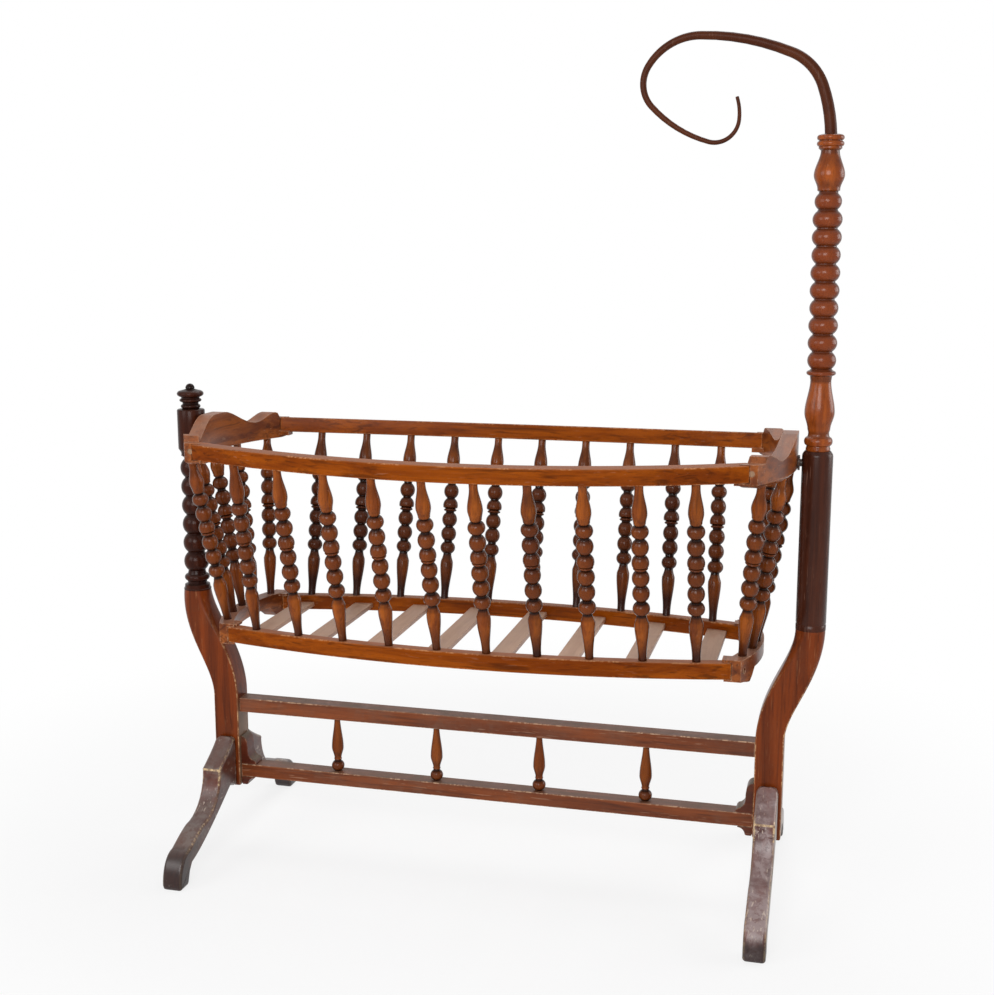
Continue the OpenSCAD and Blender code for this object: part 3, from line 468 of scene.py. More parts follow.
def sawRounded(bm, outline, half, soften, steps=6):
    around = sum(y0 * z1 - y1 * z0 for (y0, z0), (y1, z1) in zip(outline, outline[1:] + outline[:1]))
    inward = []
    for k in range(len(outline)):
        before, after = outline[k - 1], outline[(k + 1) % len(outline)]
        run = Vector((after[0] - before[0], after[1] - before[1])).normalized() * math.copysign(1, around)
        inward.append((-run.y, run.x))
    turns = [math.radians(90 * k / steps) for k in range(steps + 1)]
    stations = [(soften * (1 - math.cos(a)) - half, soften * (1 - math.sin(a))) for a in turns]
    stations += [(-x, inset) for x, inset in reversed(stations)]
    face = None
    for x, inset in stations:
        places = [(x, y + n[0] * inset, z + n[1] * inset) for (y, z), n in zip(outline, inward)]
        if face is None:
            face = bm.faces.new([bm.verts.new(place) for place in places])
            continue
        face, _ = pullFace(bm, face)
        for vert, place in zip(face.verts, places):
            vert.co = place


def setTone(bm, tone):
    layer = bm.verts.layers.float["tone"]
    for vert in bm.verts:
        vert[layer] = tone


def setDown(bm, node, body, finishNames, sharpAngle=40, flatSides=False, mirror=(1, 1, 1)):
    bmesh.ops.scale(bm, vec=[0.001 * side for side in mirror], verts=bm.verts)
    bmesh.ops.remove_doubles(bm, verts=bm.verts, dist=0.00001)
    bmesh.ops.recalc_face_normals(bm, faces=bm.faces)
    mesh = bpy.data.meshes.new(node + "_wood")
    bm.to_mesh(mesh)
    bm.free()
    mesh.shade_smooth()
    mesh.set_sharp_from_angle(angle=math.radians(sharpAngle))
    for name in finishNames:
        mesh.materials.append(finishes[name])
    piece = bpy.data.objects.new(node + "_wood", mesh)
    scene.collection.objects.link(piece)
    if flatSides:
        flat = piece.modifiers.new("flat_sides", "WEIGHTED_NORMAL")
        flat.mode = "FACE_AREA"
        flat.weight = 100
        flat.keep_sharp = True
    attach(piece, body)
    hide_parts(node)


sides = {"front": -1, "back": 1}
ends = {"foot": -1, "head": 1}

# posts

postDims = {"halfSpread": 480, "width": 46, "depth": 44, "edgeRound": 3, "bottomZ": 100, "bendEndZ": 268,
            "bendStartZ": 457, "bendOut": 57, "swell": 4.5, "seamStep": 0.4, "turnedR": 24, "pivotZ": 726,
            "drumLen": 74, "drumRise": 18, "ballCount": 6, "ballR": 22, "finial": 44, "columnTop": 746,
            "underInset": 0.96, "underRise": 2, "wearAndSheen": 0.8}
axisX = postDims["halfSpread"] + postDims["bendOut"]


def postRing(dims, t, z):
    roundR = dims["turnedR"] - dims["seamStep"]
    a = mix(dims["width"] / 2, roundR, t) + dims["swell"] * math.sin(math.pi * t) ** 2
    b = mix(dims["depth"] / 2, roundR, t)
    r = mix(dims["edgeRound"], roundR - 0.3, t ** 3)
    x = dims["halfSpread"] + dims["bendOut"] * ease(t)
    ring = []
    for q in range(4):
        for k in range(9):
            angle = math.radians(90 * q + 11.25 * k)
            sx = 1 if q in (0, 3) else -1
            sy = 1 if q < 2 else -1
            ring.append((x + sx * (a - r) + r * math.cos(angle), sy * (b - r) + r * math.sin(angle), z))
    return ring


def markCorners(bm, dims):
    layer = bm.faces.layers.float["edge"]
    span = dims["bendStartZ"] - dims["bendEndZ"]
    for face in bm.faces:
        spot = face.calc_center_median()
        t = min(1.0, max(0.0, (spot.z - dims["bendEndZ"]) / span))
        x = spot.x - dims["halfSpread"] - dims["bendOut"] * ease(t)
        a = mix(dims["width"] / 2, dims["turnedR"], t) + dims["swell"] * math.sin(math.pi * t) ** 2
        b = mix(dims["depth"] / 2, dims["turnedR"], t)
        r = mix(dims["edgeRound"], dims["turnedR"], t ** 3)
        inward = (abs(x) - a + r, abs(spot.y) - b + r)
        if min(inward) > 0.3 * r:
            face[layer] = max(0.0, 1.7 - 2.1 * t)


def bendPost(bm, dims, steps=26):
    low = dims["bottomZ"] + dims["underRise"]
    stations = [(0, dims["bottomZ"]), (0, low)]
    stations += [(0, mix(low, dims["bendEndZ"], k / 6)) for k in range(1, 6)]
    stations += [(k / steps, mix(dims["bendEndZ"], dims["bendStartZ"], k / steps)) for k in range(steps + 1)]
    middle, inset = dims["halfSpread"], dims["underInset"]
    under = [(middle + (x - middle) * inset, y * inset, z) for x, y, z in postRing(dims, *stations[0])]
    face = bm.faces.new([bm.verts.new(place) for place in under])
    for t, z in stations[1:]:
        places = postRing(dims, t, z)
        face, verts = pullFace(bm, face)
        centre = sum((v.co for v in verts), Vector()) / len(verts)
        verts.sort(key=lambda v: math.atan2(v.co.y - centre.y, v.co.x - centre.x) % (2 * math.pi))
        for vert, place in zip(verts, places):
            vert.co = place


def footTurning(dims):
    base, r, ballR = dims["bendStartZ"], dims["turnedR"], dims["ballR"]
    drumLow = dims["pivotZ"] + dims["drumRise"] - dims["drumLen"] / 2
    top, f = drumLow + dims["drumLen"], dims["finial"]
    first, last = base + 34, drumLow - 14
    pitch = (last - first) / dims["ballCount"]
    neck = ballR * 0.68
    line = [(0, base), (r, base), (r, base + 2), (r - 1.4, base + 3), (r - 1.4, base + 5), (r - 2, base + 9),
            (neck + 2, base + 11), (neck + 2, base + 14)]
    line += bead(base + 22, 6, ballR, neck + 1) + [(neck + 1, base + 30)]
    for i in range(dims["ballCount"]):
        line += ball(first + pitch * (i + 0.5), pitch * 0.47, ballR, neck, 16)
    line += [(neck, last + 2), (neck + 5, last + 6), (r - 5, last + 8), (r - 4, last + 12), (r - 3, drumLow),
             (r - 0.6, drumLow + 3), (r, drumLow + 4.5), (r, top - 3), (r - 0.4, top - 1.8),
             (r - 1.5, top - 0.8), (r - 7, top)]
    line += bead(top + f * 0.10, f * 0.08, r - 7, r - 11) + [(r - 10, top + f * 0.26)]
    line += bead(top + f * 0.34, f * 0.07, r - 5, r - 9) + [(r - 8, top + f * 0.45)]
    line += bead(top + f * 0.60, f * 0.13, r - 1, r - 9)
    line += [(r - 13, top + f * 0.76), (7, top + f * 0.80)]
    turns = [math.radians(a) for a in range(0, 80, 15)]
    line += [(8 * math.cos(a), top + f * 0.82 + f * 0.18 * math.sin(a)) for a in turns]
    return line + [(0, top + f)]


def headTurning(dims):
    r, base, top = dims["turnedR"], dims["bendStartZ"], dims["columnTop"]
    return [(0, base), (r, base), (r, base + 8), (r - 0.8, base + 9), (r - 0.8, base + 10.5),
            (r, base + 11.5), (r, base + 90), (r, base + 180), (r, top - 8), (r - 0.6, top - 5),
            (r - 1.5, top - 3.5), (r - 4, top), (0, top)]


for end, turning, finish in (("foot", footTurning, "footTurned"), ("head", headTurning, "column")):
    bm = startPiece()
    bendPost(bm, postDims)
    markCorners(bm, postDims)
    bent = set(bm.faces)
    wearAndSheen = bm.verts.layers.float["redder"]
    paleSideX = postDims["halfSpread"] + ends[end] * postDims["width"] / 2  # the right-facing side: worn varnish with a painted sheen
    for vert in bm.verts:
        if abs(vert.co.x - paleSideX) < 0.2 and vert.co.z < postDims["bendEndZ"]:
            vert[wearAndSheen] = postDims["wearAndSheen"]
    column = turnProfile(bm, turning(postDims), steps=56, reach=13)
    bmesh.ops.translate(bm, vec=(axisX, 0, 0), verts=column)
    for face in bm.faces:
        if face not in bent:
            face.material_index = 1
    setDown(bm, end + "_post", "stand", ["post", finish], 44, mirror=(ends[end], 1, 1))
print("posts turned")

# canopy pole and rod

poleDims = {"length": 482, "beads": 10, "beadR": 22.5, "vaseR": 23.25, "foot": 128, "crown": 86, "baseZ": 746}
rodDims = {"baseR": 9.2, "tipR": 2.7, "reach": 285, "lean": 3, "stepTurn": 4, "sunk": 8, "tipRound": 1.0,
           "arcs": [(0.86, 17), (0.30, 47), (1.30, 22), (0.32, 59), (0.175, 75), (0.685, 31),
                    (0.127, 101), (0.295, 24)]}  # radius as a share of the reach, sweep in degrees


def poleTurning(dims):
    v, b, tip = dims["vaseR"], dims["beadR"], dims["length"]
    low, high, highMid = dims["foot"], dims["length"] - dims["crown"], dims["length"] - dims["crown"] * 0.7
    pitch = (high - low) / dims["beads"]
    neck = b * 0.7
    line = [(0, 0), (18.4, 0), (19, 0.8), (19, 4.4), (18.4, 5)] + bead(15, 7, b - 0.5, 17)
    line += [(16.5, 24), (16, 29), (17.5, 34)] + swell(34, 17.5, low * 0.47, v) + [(v, low * 0.47)]
    line += swell(low * 0.47, v, low - 18, 16, 12) + [(16, low - 18), (17, low - 11)]
    line += bead(low - 6, 4, b, 17, 16)
    for i in range(dims["beads"] - 1):
        line += ball(low + pitch * (i + 0.5), pitch * 0.47, b - (0 if i % 3 else 0.5), neck, 16)
    line += ball(high - pitch * 0.5, pitch * 0.44, b - 2, neck - 1, 16)
    line += [(neck - 1.5, high + 1), (17, high + 3), (17, high + 5)] + swell(high + 5, 17, highMid, v, 8)
    line += [(v, highMid)] + swell(highMid, v, tip - 24, 14, 10)
    line += [(14, tip - 24), (17.5, tip - 21), (17.5, tip - 19)]
    line += bead(tip - 14, 4.2, 20.4, 16.5) + bead(tip - 5, 4.2, 20.4, 16.5)
    return line + [(14, tip), (0, tip)]


bm = startPiece()
made = turnProfile(bm, poleTurning(poleDims), steps=56, reach=12, red=[(poleDims["foot"] - 12, 400)])
bmesh.ops.translate(bm, vec=(axisX, 0, poleDims["baseZ"]), verts=made)
setDown(bm, "canopy_pole", "stand", ["pole"], 46)

bm = startPiece()
poleTop = poleDims["baseZ"] + poleDims["length"]
ring = bmesh.ops.create_circle(bm, cap_ends=True, segments=20, radius=rodDims["baseR"])["verts"]
bmesh.ops.translate(bm, vec=(axisX, 0, poleTop - rodDims["sunk"]), verts=ring)
face = next(iter(bm.faces))
wholeRun = sum(share * rodDims["reach"] * math.radians(sweep) for share, sweep in rodDims["arcs"])
stations = [(0.0, rodDims["sunk"], rodDims["lean"])]
for share, sweep in rodDims["arcs"]:
    count = math.ceil(sweep / rodDims["stepTurn"])
    run = share * rodDims["reach"] * math.radians(sweep / count)
    stations += [(run, run, sweep / count)] * count
at, heading, done, radius = Vector((axisX, 0, poleTop - rodDims["sunk"])), 0.0, 0.0, rodDims["baseR"]
for run, step, bend in stations:
    face, verts = pullFace(bm, face)
    middle = math.radians(heading + bend / 2) if run else 0.0
    move = Vector((-math.sin(middle), 0, math.cos(middle))) * step
    bmesh.ops.translate(bm, vec=move, verts=verts)
    at += move
    heading += bend
    done += run
    bmesh.ops.rotate(bm, cent=at, matrix=Matrix.Rotation(-math.radians(bend), 3, "Y"), verts=verts)
    fresh = mix(rodDims["baseR"], rodDims["tipR"], done / wholeRun)
    bmesh.ops.scale(bm, vec=[fresh / radius] * 3, space=Matrix.Translation(-at), verts=verts)
    radius = fresh
bevelEdges(bm, list(face.edges), rodDims["tipRound"], 3)
setDown(bm, "canopy_rod", "stand", ["rod"], 60)
print("pole and rod made")

# stretchers and their small spindles

stretcherDims = {"halfLen": 457, "depth": 30, "upper": (237, 26), "lower": (115, 24), "postWidth": 46,
                 "tenon": 12, "shoulder": 3.2, "overlap": 5, "endGap": 0.1, "soften": 1.6}
smallDims = {"count": 4, "margin": 181, "ballR": 11.5, "vaseR": 10.75, "pinR": 4.5, "seed": 300,
             "uneven": 0.4, "tone": (0.1, 0.4)}


def addBox(bm, low, high):
    made = bmesh.ops.create_cube(bm, size=1)["verts"]
    size = [b - a for a, b in zip(low, high)]
    bmesh.ops.scale(bm, vec=size, verts=made)
    bmesh.ops.translate(bm, vec=[(a + b) / 2 for a, b in zip(low, high)], verts=made)
    return made


for level in ("upper", "lower"):
    bm = startPiece()
    z, h = stretcherDims[level]
    half, deep = stretcherDims["halfLen"], stretcherDims["depth"] / 2
    addBox(bm, (-half, -deep, z), (half, deep, z + h))
    reach, thin = half + stretcherDims["postWidth"], stretcherDims["tenon"] / 2
    cut = stretcherDims["shoulder"]
    for side in (-1, 1):
        tenon = (side * (half - stretcherDims["overlap"]), side * (reach - stretcherDims["endGap"]))
        addBox(bm, (min(tenon), -thin, z + cut), (max(tenon), thin, z + h - cut))
    roundEdges(bm, stretcherDims["soften"])
    setDown(bm, level + "_stretcher", "stand", ["stretcher"], 40, True)

lowerTop = stretcherDims["lower"][0] + stretcherDims["lower"][1]
gapHeight = stretcherDims["upper"][0] - lowerTop
smallPitch = 2 * (stretcherDims["halfLen"] - smallDims["margin"]) / (smallDims["count"] - 1)
for i in range(1, smallDims["count"] + 1):
    chance = random.Random(smallDims["seed"] + i)
    p, h = smallDims["pinR"], gapHeight
    b = smallDims["ballR"] - chance.uniform(0, smallDims["uneven"])
    v = smallDims["vaseR"] - chance.uniform(0, smallDims["uneven"])
    line = [(0, -3), (p, -3), (p, 0), (b * 0.62, 0)] + ball(h * 0.095, h * 0.088, b, b * 0.55)
    line += [(b * 0.55, h * 0.21), (b * 0.62, h * 0.225), (b * 0.55, h * 0.24)]
    line += swell(h * 0.24, b * 0.55, h * 0.44, v) + [(v, h * 0.44)]
    line += swell(h * 0.44, v, h, p + 0.6, 12) + [(p + 0.6, h), (p, h), (p, h + 3), (0, h + 3)]
    bm = startPiece()
    made = turnProfile(bm, line, 32, 6, [(-2, h * 0.22)], chance.uniform(*smallDims["tone"]))
    bmesh.ops.translate(bm, vec=((i - 2.5) * smallPitch, 0, lowerTop), verts=made)
    setDown(bm, "stretcher_spindle_%d" % i, "stand", ["spindle"], 50)
print("stretchers made")

# tub rails

railDims = {"t": 20, "h": 27, "soften": 2.0,
            "top": {"halfW": 175, "bow": 66, "halfLen": 443, "midZ": 734.5, "tilt": 7},
            "bottom": {"halfW": 112, "bow": 50, "halfLen": 421, "midZ": 413, "tilt": 0}}


def arcRadius(halfChord, bow):
    return (halfChord ** 2 + bow ** 2) / (2 * bow)


def bowAt(rail, x):
    r = arcRadius(rail["halfLen"], rail["bow"])
    return rail["bow"] - r + math.sqrt(r * r - x * x)


for side in sides:
    for level in ("top", "bottom"):
        rail = railDims[level]
        r = arcRadius(rail["halfLen"], rail["bow"])
        halfTurn = math.asin(rail["halfLen"] / r)
        t, h = railDims["t"] / 2, railDims["h"] / 2
        bm = startPiece()
        corners = ((-t, -h), (t, -h), (t, h), (-t, h))
        face = bm.faces.new([bm.verts.new((0, rail["bow"] + y, z)) for y, z in corners])
        centre = Vector((0, rail["bow"] - r, 0))
        bmesh.ops.rotate(bm, cent=centre, matrix=Matrix.Rotation(-halfTurn, 3, "Z"), verts=bm.verts)
        bmesh.ops.spin(bm, geom=[face] + list(face.edges) + list(face.verts), cent=centre, axis=(0, 0, 1),
                       angle=2 * halfTurn, steps=44, use_duplicate=False)
        roundEdges(bm, railDims["soften"])
        lean = Matrix.Rotation(-math.radians(rail["tilt"]), 3, "X")
        bmesh.ops.rotate(bm, cent=(0, 0, 0), matrix=lean, verts=bm.verts)
        bmesh.ops.translate(bm, vec=(0, rail["halfW"], rail["midZ"]), verts=bm.verts)
        setDown(bm, "%s_%s_rail" % (side, level), "tub", ["rail"], 40, True, (1, sides[side], 1))
print("rails bent")

# tub spindles

spindleDims = {"count": 10, "sidePitch": 82, "beadR": 13.9, "pitch": 26, "first": 92, "vaseR": 12.1,
               "lowVaseR": 11.4, "lowRise": 64, "neckR": 6.8, "footR": 6.7, "cutRing": 0.86, "halfBoard": 12,
               "bottomDark": 0.9, "tones": (0, 0, 0.08, 0.16, 0.3), "rowShade": {"front": 0.0, "back": 0.34},
               "sideSeed": {"front": 7, "back": 13}, "endSeed": {"foot": 500, "head": 600},
               "foot": {"y": (0, 44, 92), "boardR": 299.2, "boardX": 464, "z": 431.5},
               "head": {"y": (0, 76, 152), "boardR": 373.7, "boardX": 507, "z": 711}}


def spindleTurning(dims, long, chance):
    def about(value, share):
        return value * (1 + chance.uniform(-share, share))
    step, first, low = dims["pitch"], dims["first"], dims["lowRise"]
    b, v, w = dims["beadR"], dims["vaseR"], dims["lowVaseR"]
    f, n = dims["footR"], dims["neckR"]
    neck = b * 0.54
    last = first + 5 * step
    line = [(0, -2), (f, -2), (f, 0), (f, 6)] + swell(6, f, low, about(w, 0.02), 14)
    line += swell(low, w, first - step * 0.5 - 1, neck + 0.5, 8) + [(neck, first - step * 0.5)]
    for i in range(6):
        half = step * 0.40 if i % 5 == 0 else step * 0.48
        radius = b - chance.uniform(0, 0.5)
        z = first + step * i + chance.uniform(-0.3, 0.3)
        if i == 3:
            cutAt = z - half * 0.5  # a cut ring runs round the third bead from the top
            line += bead(cutAt - 2.4, 2.6, radius * dims["cutRing"], neck, 16)
            line += [(radius * 0.72, cutAt + 0.4)]
            line += [(r, h) for r, h in ball(z, half, radius, neck) if h > cutAt + 0.8]
        else:
            line += ball(z, half, radius, neck)
    line += [(neck, last + step * 0.44), (neck + 2, last + step * 0.52)]
    line += swell(last + step * 0.52, neck + 2, last + step * 1.15, v, 8) + [(v, last + step * 1.15)]
    line += swell(last + step * 1.15, v, long - 8, n, 14)
    return line + [(n, long - 8), (n, long + 3), (0, long + 3)]


def standSpindle(bm, start, stop, dims, chance, rowShade=0.0):
    across = Vector(stop) - Vector(start)
    red = (dims["first"] - 15, dims["first"] + 5.6 * dims["pitch"])
    # the back row gets a painted shade on top of its random tone
    tone = rowShade + chance.choice(dims["tones"])
    made = turnProfile(bm, spindleTurning(dims, across.length, chance), 36, 8, [red], tone, dims["bottomDark"])
    spin = Matrix.Rotation(chance.uniform(0, 6.28), 4, "Z")
    turned = Matrix.Translation(start) @ across.to_track_quat("Z", "Y").to_matrix().to_4x4() @ spin
    bmesh.ops.transform(bm, matrix=turned, verts=made)


def railPoints(x):
    top, bottom, half = railDims["top"], railDims["bottom"], railDims["h"] / 2
    out, tilt = bowAt(top, x), math.radians(top["tilt"])
    foot = (x, bottom["halfW"] + bowAt(bottom, x), bottom["midZ"] + half)
    head = (x, top["halfW"] + out * math.cos(tilt) - half * math.sin(tilt),
            top["midZ"] - out * math.sin(tilt) - half * math.cos(tilt))
    return foot, head


def boardPoint(place, y):
    reach = math.sqrt((place["boardR"] - spindleDims["halfBoard"]) ** 2 - y * y)
    return (place["boardX"] - place["boardR"] + reach, y, place["z"])


for side in sides:
    for i in range(1, spindleDims["count"] + 1):
        chance = random.Random(20 * i + spindleDims["sideSeed"][side])
        foot, head = railPoints((i - 5.5) * spindleDims["sidePitch"])
        bm = startPiece()
        foot, head = ((x, sides[side] * y, z) for x, y, z in (foot, head))
        standSpindle(bm, foot, head, spindleDims, chance, spindleDims["rowShade"][side])
        setDown(bm, "%s_spindle_%d" % (side, i), "tub", ["spindle"], 50)

for end in ends:
    bm = startPiece()
    for k in (-2, -1, 0, 1, 2):
        chance = random.Random(spindleDims["endSeed"][end] + 11 * k)
        places = [boardPoint(place, math.copysign(place["y"][abs(k)], k))
                  for place in (spindleDims["foot"], spindleDims["head"])]
        foot, head = ((ends[end] * x, y, z) for x, y, z in places)
        standSpindle(bm, foot, head, spindleDims, chance)
    setDown(bm, end + "_end_spindles", "tub", ["spindle"], 50)
print("tub spindles turned")

# slats

slatDims = {"count": 8, "soften": 1.2, "seed": 900, "darkest": 0.35}
for i in range(1, slatDims["count"] + 1):
    chance = random.Random(slatDims["seed"] + i)
    low, high = (corner * 1000 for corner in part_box("slat_%d" % i))
    bm = startPiece()
    addBox(bm, low, high)
    roundEdges(bm, slatDims["soften"])
    setTone(bm, chance.uniform(0, slatDims["darkest"]))
    setDown(bm, "slat_%d" % i, "tub", ["slat"], 40, True)
print("slats laid")

# legs and brackets

legDims = {"width": 35, "reach": 252, "top": 194, "sole": 34, "bottomZ": 100, "y0": 22, "toeR": 38,
           "soften": 6.0, "topRound": 0.36, "topCuts": (15, 35, 55, 75), "dirtTop": {"foot": 68, "head": 42}}
bracketDims = {"h": 53, "len": 29, "under": 15, "depth": 30, "inX": 457, "soften": 1.4}


def legOutline(dims):
    y0, top, toe = dims["y0"], dims["top"], dims["reach"]
    reach = toe - y0
    ridge, knee, heel = y0 + reach * 0.30, y0 + reach * 0.60, toe - dims["sole"] - 13
    toeR, toeTop, sole = dims["toeR"], top * 0.31, toe - dims["sole"]
    line = [(y0, top - 4), (y0 + 3, top - 1), (y0 + 9, top)]
    line += [(mix(y0 + 9, ridge, k / 8), top - top * 0.2 * (k / 8) ** 0.8) for k in range(1, 9)]
    turns = [math.radians(a) for a in range(0, 91, 10)]
    line += [(knee - (knee - ridge) * math.cos(a), top * (0.78 - 0.36 * math.sin(a))) for a in turns]
    line += [(mix(knee, toe - toeR, k / 7), mix(top * 0.42, toeTop, (k / 7) ** 1.2)) for k in range(1, 8)]
    turns = [math.radians(a) for a in range(9, 85, 9)]
    line += [(toe - toeR + toeR * math.sin(a), mix(8, toeTop, math.cos(a))) for a in turns]
    line += [(toe, 8), (toe - 2, 2), (toe - 5, 0), (sole + 7, 0), (sole + 2, 3), (sole - 1, 10)]
    line += [(sole - 5, top * 0.11)]
    low = dims["bottomZ"]
    line += [(mix(heel, y0 + 26, k / 10), mix(top * 0.165, low + 9, (k / 10) ** 1.25)) for k in range(11)]
    return line + [(y0 + 10, low + 3), (y0, low + 3)]


legWear = {"slant": 0.68, "spread": 0.34, "all": 0.7, "ridge": 2.6, "toe": 1.8, "line": 3.0,
           "toeHeight": 34, "toeLength": 40, "dirtFade": 20, "dirtMost": 0.9}


def wearLeg(bm, dims, wear, dirtTop, paleSide):
    edge = bm.faces.layers.float["edge"]
    groove, redder = bm.verts.layers.float["groove"], bm.verts.layers.float["redder"]
    ridgeY, ridgeZ = dims["y0"] + (dims["reach"] - dims["y0"]) * 0.30, dims["top"] * 0.79
    for face in bm.faces:
        spot = face.calc_center_median()
        corner = max(0.0, 1 - abs(abs(face.normal.x) - wear["slant"]) / wear["spread"])
        nearRidge = max(0.0, 1 - abs(spot.z - ridgeZ + 9) / 17) if abs(spot.y - ridgeY) < 9 else 0.0
        nearToe = spot.z < wear["toeHeight"] and spot.y > dims["reach"] - wear["toeLength"]
        face[edge] = corner * (wear["all"] + wear["ridge"] * nearRidge + wear["toe"] * nearToe)
        if abs(spot.y - ridgeY) < 1.2 and abs(spot.z - ridgeZ) < 5:
            face[edge] = wear["line"]  # the pale line across the ridge
    for vert in bm.verts:
        if vert.co.y > dims["reach"] - dims["sole"] - 6:
            vert[groove] = min(wear["dirtMost"], max(0.0, (dirtTop - vert.co.z) / wear["dirtFade"]))
        # the right-facing side is paled: worn varnish with a painted sheen
        if paleSide and vert.co.x > dims["width"] / 2 - 0.4:
            vert[redder] = 1.0


def chop(bm, place, normal):
    cut = bmesh.ops.bisect_plane(bm, geom=bm.verts[:] + bm.edges[:] + bm.faces[:], plane_co=place,
                                 plane_no=normal, clear_outer=True)["geom_cut"]
    edges = [e for e in cut if isinstance(e, bmesh.types.BMEdge) and len(e.link_faces) < 2]
    if edges:
        bmesh.ops.holes_fill(bm, edges=edges, sides=0)


for end in ends:
    for side in sides:
        bm = startPiece()
        half = legDims["width"] / 2
        sawRounded(bm, legOutline(legDims), half, legDims["soften"])
        bmesh.ops.recalc_face_normals(bm, faces=bm.faces)
        r = legDims["width"] * legDims["topRound"]
        for turned in legDims["topCuts"]:
            angle = math.radians(turned)
            for way in (-1, 1):
                normal = (way * math.cos(angle), 0, math.sin(angle))
                place = (way * (half - r + r * math.cos(angle)), 0, legDims["top"] - r + r * math.sin(angle))
                chop(bm, place, normal)
        wearLeg(bm, legDims, legWear, legDims["dirtTop"][end], end == "head")
        bmesh.ops.translate(bm, vec=(postDims["halfSpread"], 0, 0), verts=bm.verts)
        finish = "leg" if end == "head" else "footLeg"
        setDown(bm, "%s_%s_leg" % (end, side), "stand", [finish], 40, True,
                (ends[end], sides[side], 1))


def arcPoints(count, first, last, place):
    turns = [math.radians(mix(first, last, k / count)) for k in range(count + 1)]
    return [place(math.sin(a), math.cos(a)) for a in turns]


def bracketOutline(dims, upper):
    h, l = (dims["h"] if upper else dims["under"]), dims["len"]
    if not upper:
        line = [(0, 0), (0, -h * 0.7), (l * 0.06, -h), (l * 0.34, -h), (l * 0.42, -h * 0.9)]
        line += arcPoints(6, 75, 15, lambda s, c: (l * 0.86 - l * 0.42 * s, -h * 0.12 - h * 0.74 * (1 - c)))
        return line + [(l * 0.86, -h * 0.12), (l * 0.86, 0)]
    line = [(0, 0)] + arcPoints(7, 0, 75, lambda s, c: (l * 0.42 * s, h * 0.72 + h * 0.28 * c))
    line += [(l * 0.45, h * 0.6)]
    line += arcPoints(7, 0, 75, lambda s, c: (l * 0.45 + l * 0.27 * (1 - c), h * 0.5 - h * 0.3 * s))
    return line + arcPoints(5, 0, 90, lambda s, c: (l * 0.72 + l * 0.28 * s, h * 0.17 * c))


for end in ends:
    for level in ("upper", "lower"):
        bm = startPiece()
        base = lowerTop if level == "upper" else stretcherDims["lower"][0]
        inX, deep = bracketDims["inX"], bracketDims["depth"]
        outline = bracketOutline(bracketDims, level == "upper")
        face = bm.faces.new([bm.verts.new((inX - x, -deep / 2, base + z)) for x, z in outline])
        bmesh.ops.translate(bm, vec=(0, deep, 0), verts=pullFace(bm, face)[1])
        roundEdges(bm, bracketDims["soften"], 50)
        setDown(bm, "%s_%s_bracket" % (end, level), "stand", ["bracket"], 40, True,
                (ends[end], 1, 1))
print("legs and brackets sawn")

# camera, floor and soft studio light, in metres

cameraLook = {"place": (0.5910, -2.2320, 1.0689), "yaw": 14.42, "pitch": 10.36, "focalPixels": 1400.6,
              "photoPixels": 995, "sensor": 36}
lampLook = {
    "left_window": {"place": (-1.9, -2.0, 1.6), "aim": (0.0, 0.0, 0.6), "size": (1.5, 1.3), "power": 24},
    "front_window": {"place": (0.2, -3.0, 1.75), "aim": (0.1, 0.0, 0.6), "size": (1.5, 1.3), "power": 60},
    "top_softbox": {"place": (0.2, 1.4, 3.2), "aim": (0.0, 0.0, 0.5), "size": (2.2, 1.6), "power": 36},
    "right_softbox": {"place": (2.9, 0.9, 1.3), "aim": (0.2, 0.0, 0.5), "size": (1.6, 1.4), "power": 36},
}
floorLook = {"size": 24, "drop": 0.0004, "shade": (0.86, 0.86, 0.86, 1), "shadow": 0.2, "fadeFrom": 0.55,
             "fadeTo": 1.5}
roomLook = {"soft": 0.22, "tint": (0.95, 0.96, 1.0, 1)}


def placeCamera(look):
    data = bpy.data.cameras.new("photo_camera")
    data.sensor_width = look["sensor"]
    data.lens = look["focalPixels"] * look["sensor"] / look["photoPixels"]
    camera = bpy.data.objects.new("photo_camera", data)
    scene.collection.objects.link(camera)
    yaw = Matrix.Rotation(math.radians(look["yaw"]), 4, "Z")
    tip = Matrix.Rotation(math.radians(90 - look["pitch"]), 4, "X")
    camera.matrix_world = Matrix.Translation(look["place"]) @ (yaw @ tip)
    scene.camera = camera


def placeLamp(name, look):
    data = bpy.data.lights.new(name, "AREA")
    data.shape = "RECTANGLE"
    data.size, data.size_y = look["size"]
    data.energy = look["power"]
    lamp = bpy.data.objects.new(name, data)
    scene.collection.objects.link(lamp)
    aim = Vector(look["aim"]) - Vector(look["place"])
    lamp.matrix_world = Matrix.Translation(look["place"]) @ aim.to_track_quat("-Z", "Y").to_matrix().to_4x4()


def seenDirectly(tree):  # by the camera, in a reflection or through glass
    path = tree.nodes.new("ShaderNodeLightPath").outputs
    through = sums(tree, "MAXIMUM", path["Is Glossy Ray"], path["Is Transmission Ray"])
    return sums(tree, "MAXIMUM", path["Is Camera Ray"], through)


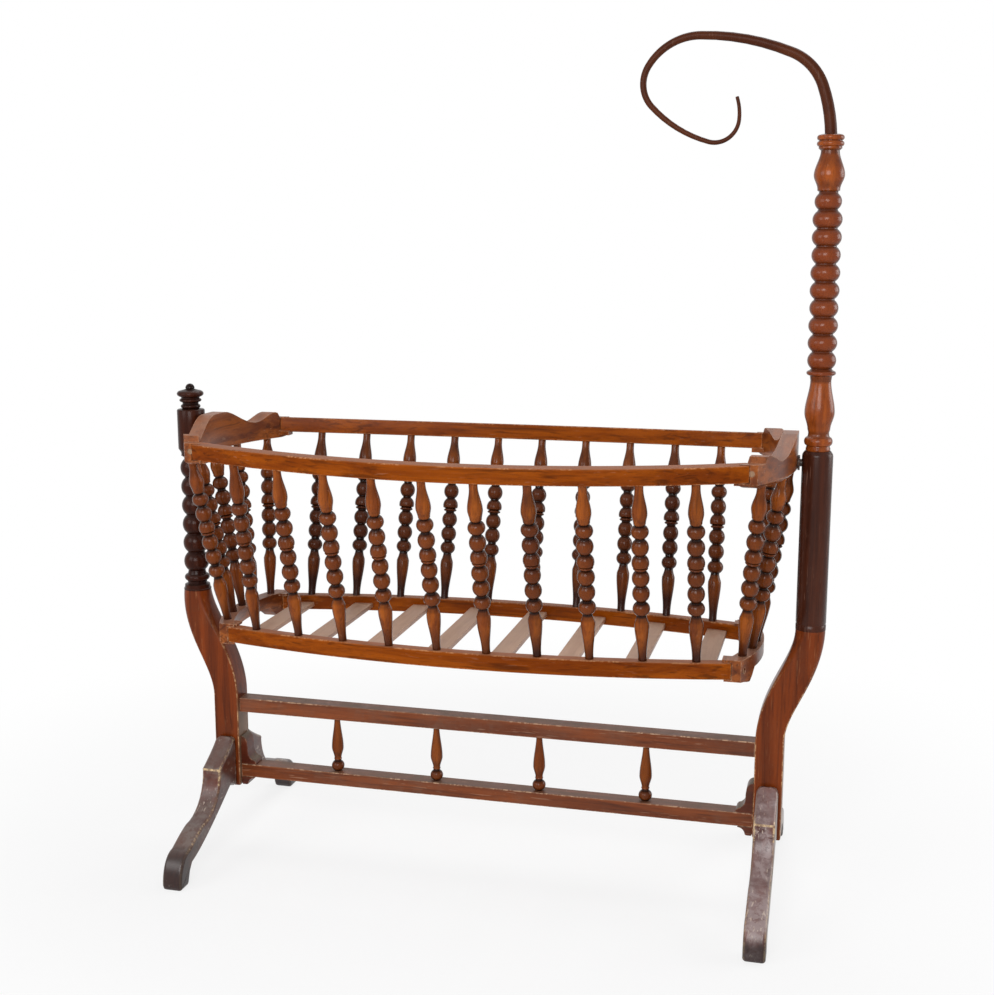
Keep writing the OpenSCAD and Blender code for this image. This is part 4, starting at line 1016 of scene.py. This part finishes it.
def layFloor(look):
    bm = bmesh.new()
    bmesh.ops.create_grid(bm, x_segments=1, y_segments=1, size=look["size"] / 2)
    bmesh.ops.translate(bm, vec=(0, 0, -look["drop"]), verts=bm.verts)
    mesh = bpy.data.meshes.new("studio_floor")
    bm.to_mesh(mesh)
    bm.free()
    floor = bpy.data.objects.new("studio_floor", mesh)
    scene.collection.objects.link(floor)
    material = bpy.data.materials.new("pale_floor")
    material.use_nodes = True
    tree = material.node_tree
    tree.nodes.remove(tree.nodes["Principled BSDF"])
    matte = wire(tree, "ShaderNodeBsdfDiffuse", {"Color": look["shade"]}).outputs[0]
    white = wire(tree, "ShaderNodeEmission", {"Color": (1, 1, 1, 1), "Strength": 1.0}).outputs[0]
    place = tree.nodes.new("ShaderNodeTexCoord").outputs["Object"]
    away = wire(tree, "ShaderNodeVectorMath", {0: place}, operation="LENGTH").outputs["Value"]
    share = ramp(tree, away, look["fadeFrom"], look["fadeTo"], look["shadow"], 0.0)
    shown = wire(tree, "ShaderNodeMixShader", {0: share, 1: white, 2: matte}).outputs[0]
    final = wire(tree, "ShaderNodeMixShader", {0: seenDirectly(tree), 1: matte, 2: shown}).outputs[0]
    tree.links.new(final, tree.nodes["Material Output"].inputs["Surface"])
    mesh.materials.append(material)


def lightWorld(look):
    world = bpy.data.worlds.new("studio_world")
    scene.world = world
    world.use_nodes = True
    tree = world.node_tree
    background = tree.nodes["Background"]
    background.inputs["Color"].default_value = (1, 1, 1, 1)
    background.inputs["Strength"].default_value = 1.0
    soft = wire(tree, "ShaderNodeBackground", {"Color": look["tint"], "Strength": look["soft"]}).outputs[0]
    mixed = {0: seenDirectly(tree), 1: soft, 2: background.outputs[0]}
    final = wire(tree, "ShaderNodeMixShader", mixed).outputs[0]
    tree.links.new(final, tree.nodes["World Output"].inputs["Surface"])


placeCamera(cameraLook)
for lampName, lamp in lampLook.items():
    placeLamp(lampName, lamp)
layFloor(floorLook)
lightWorld(roomLook)
scene.view_settings.view_transform = "Standard"
print("camera and light placed")
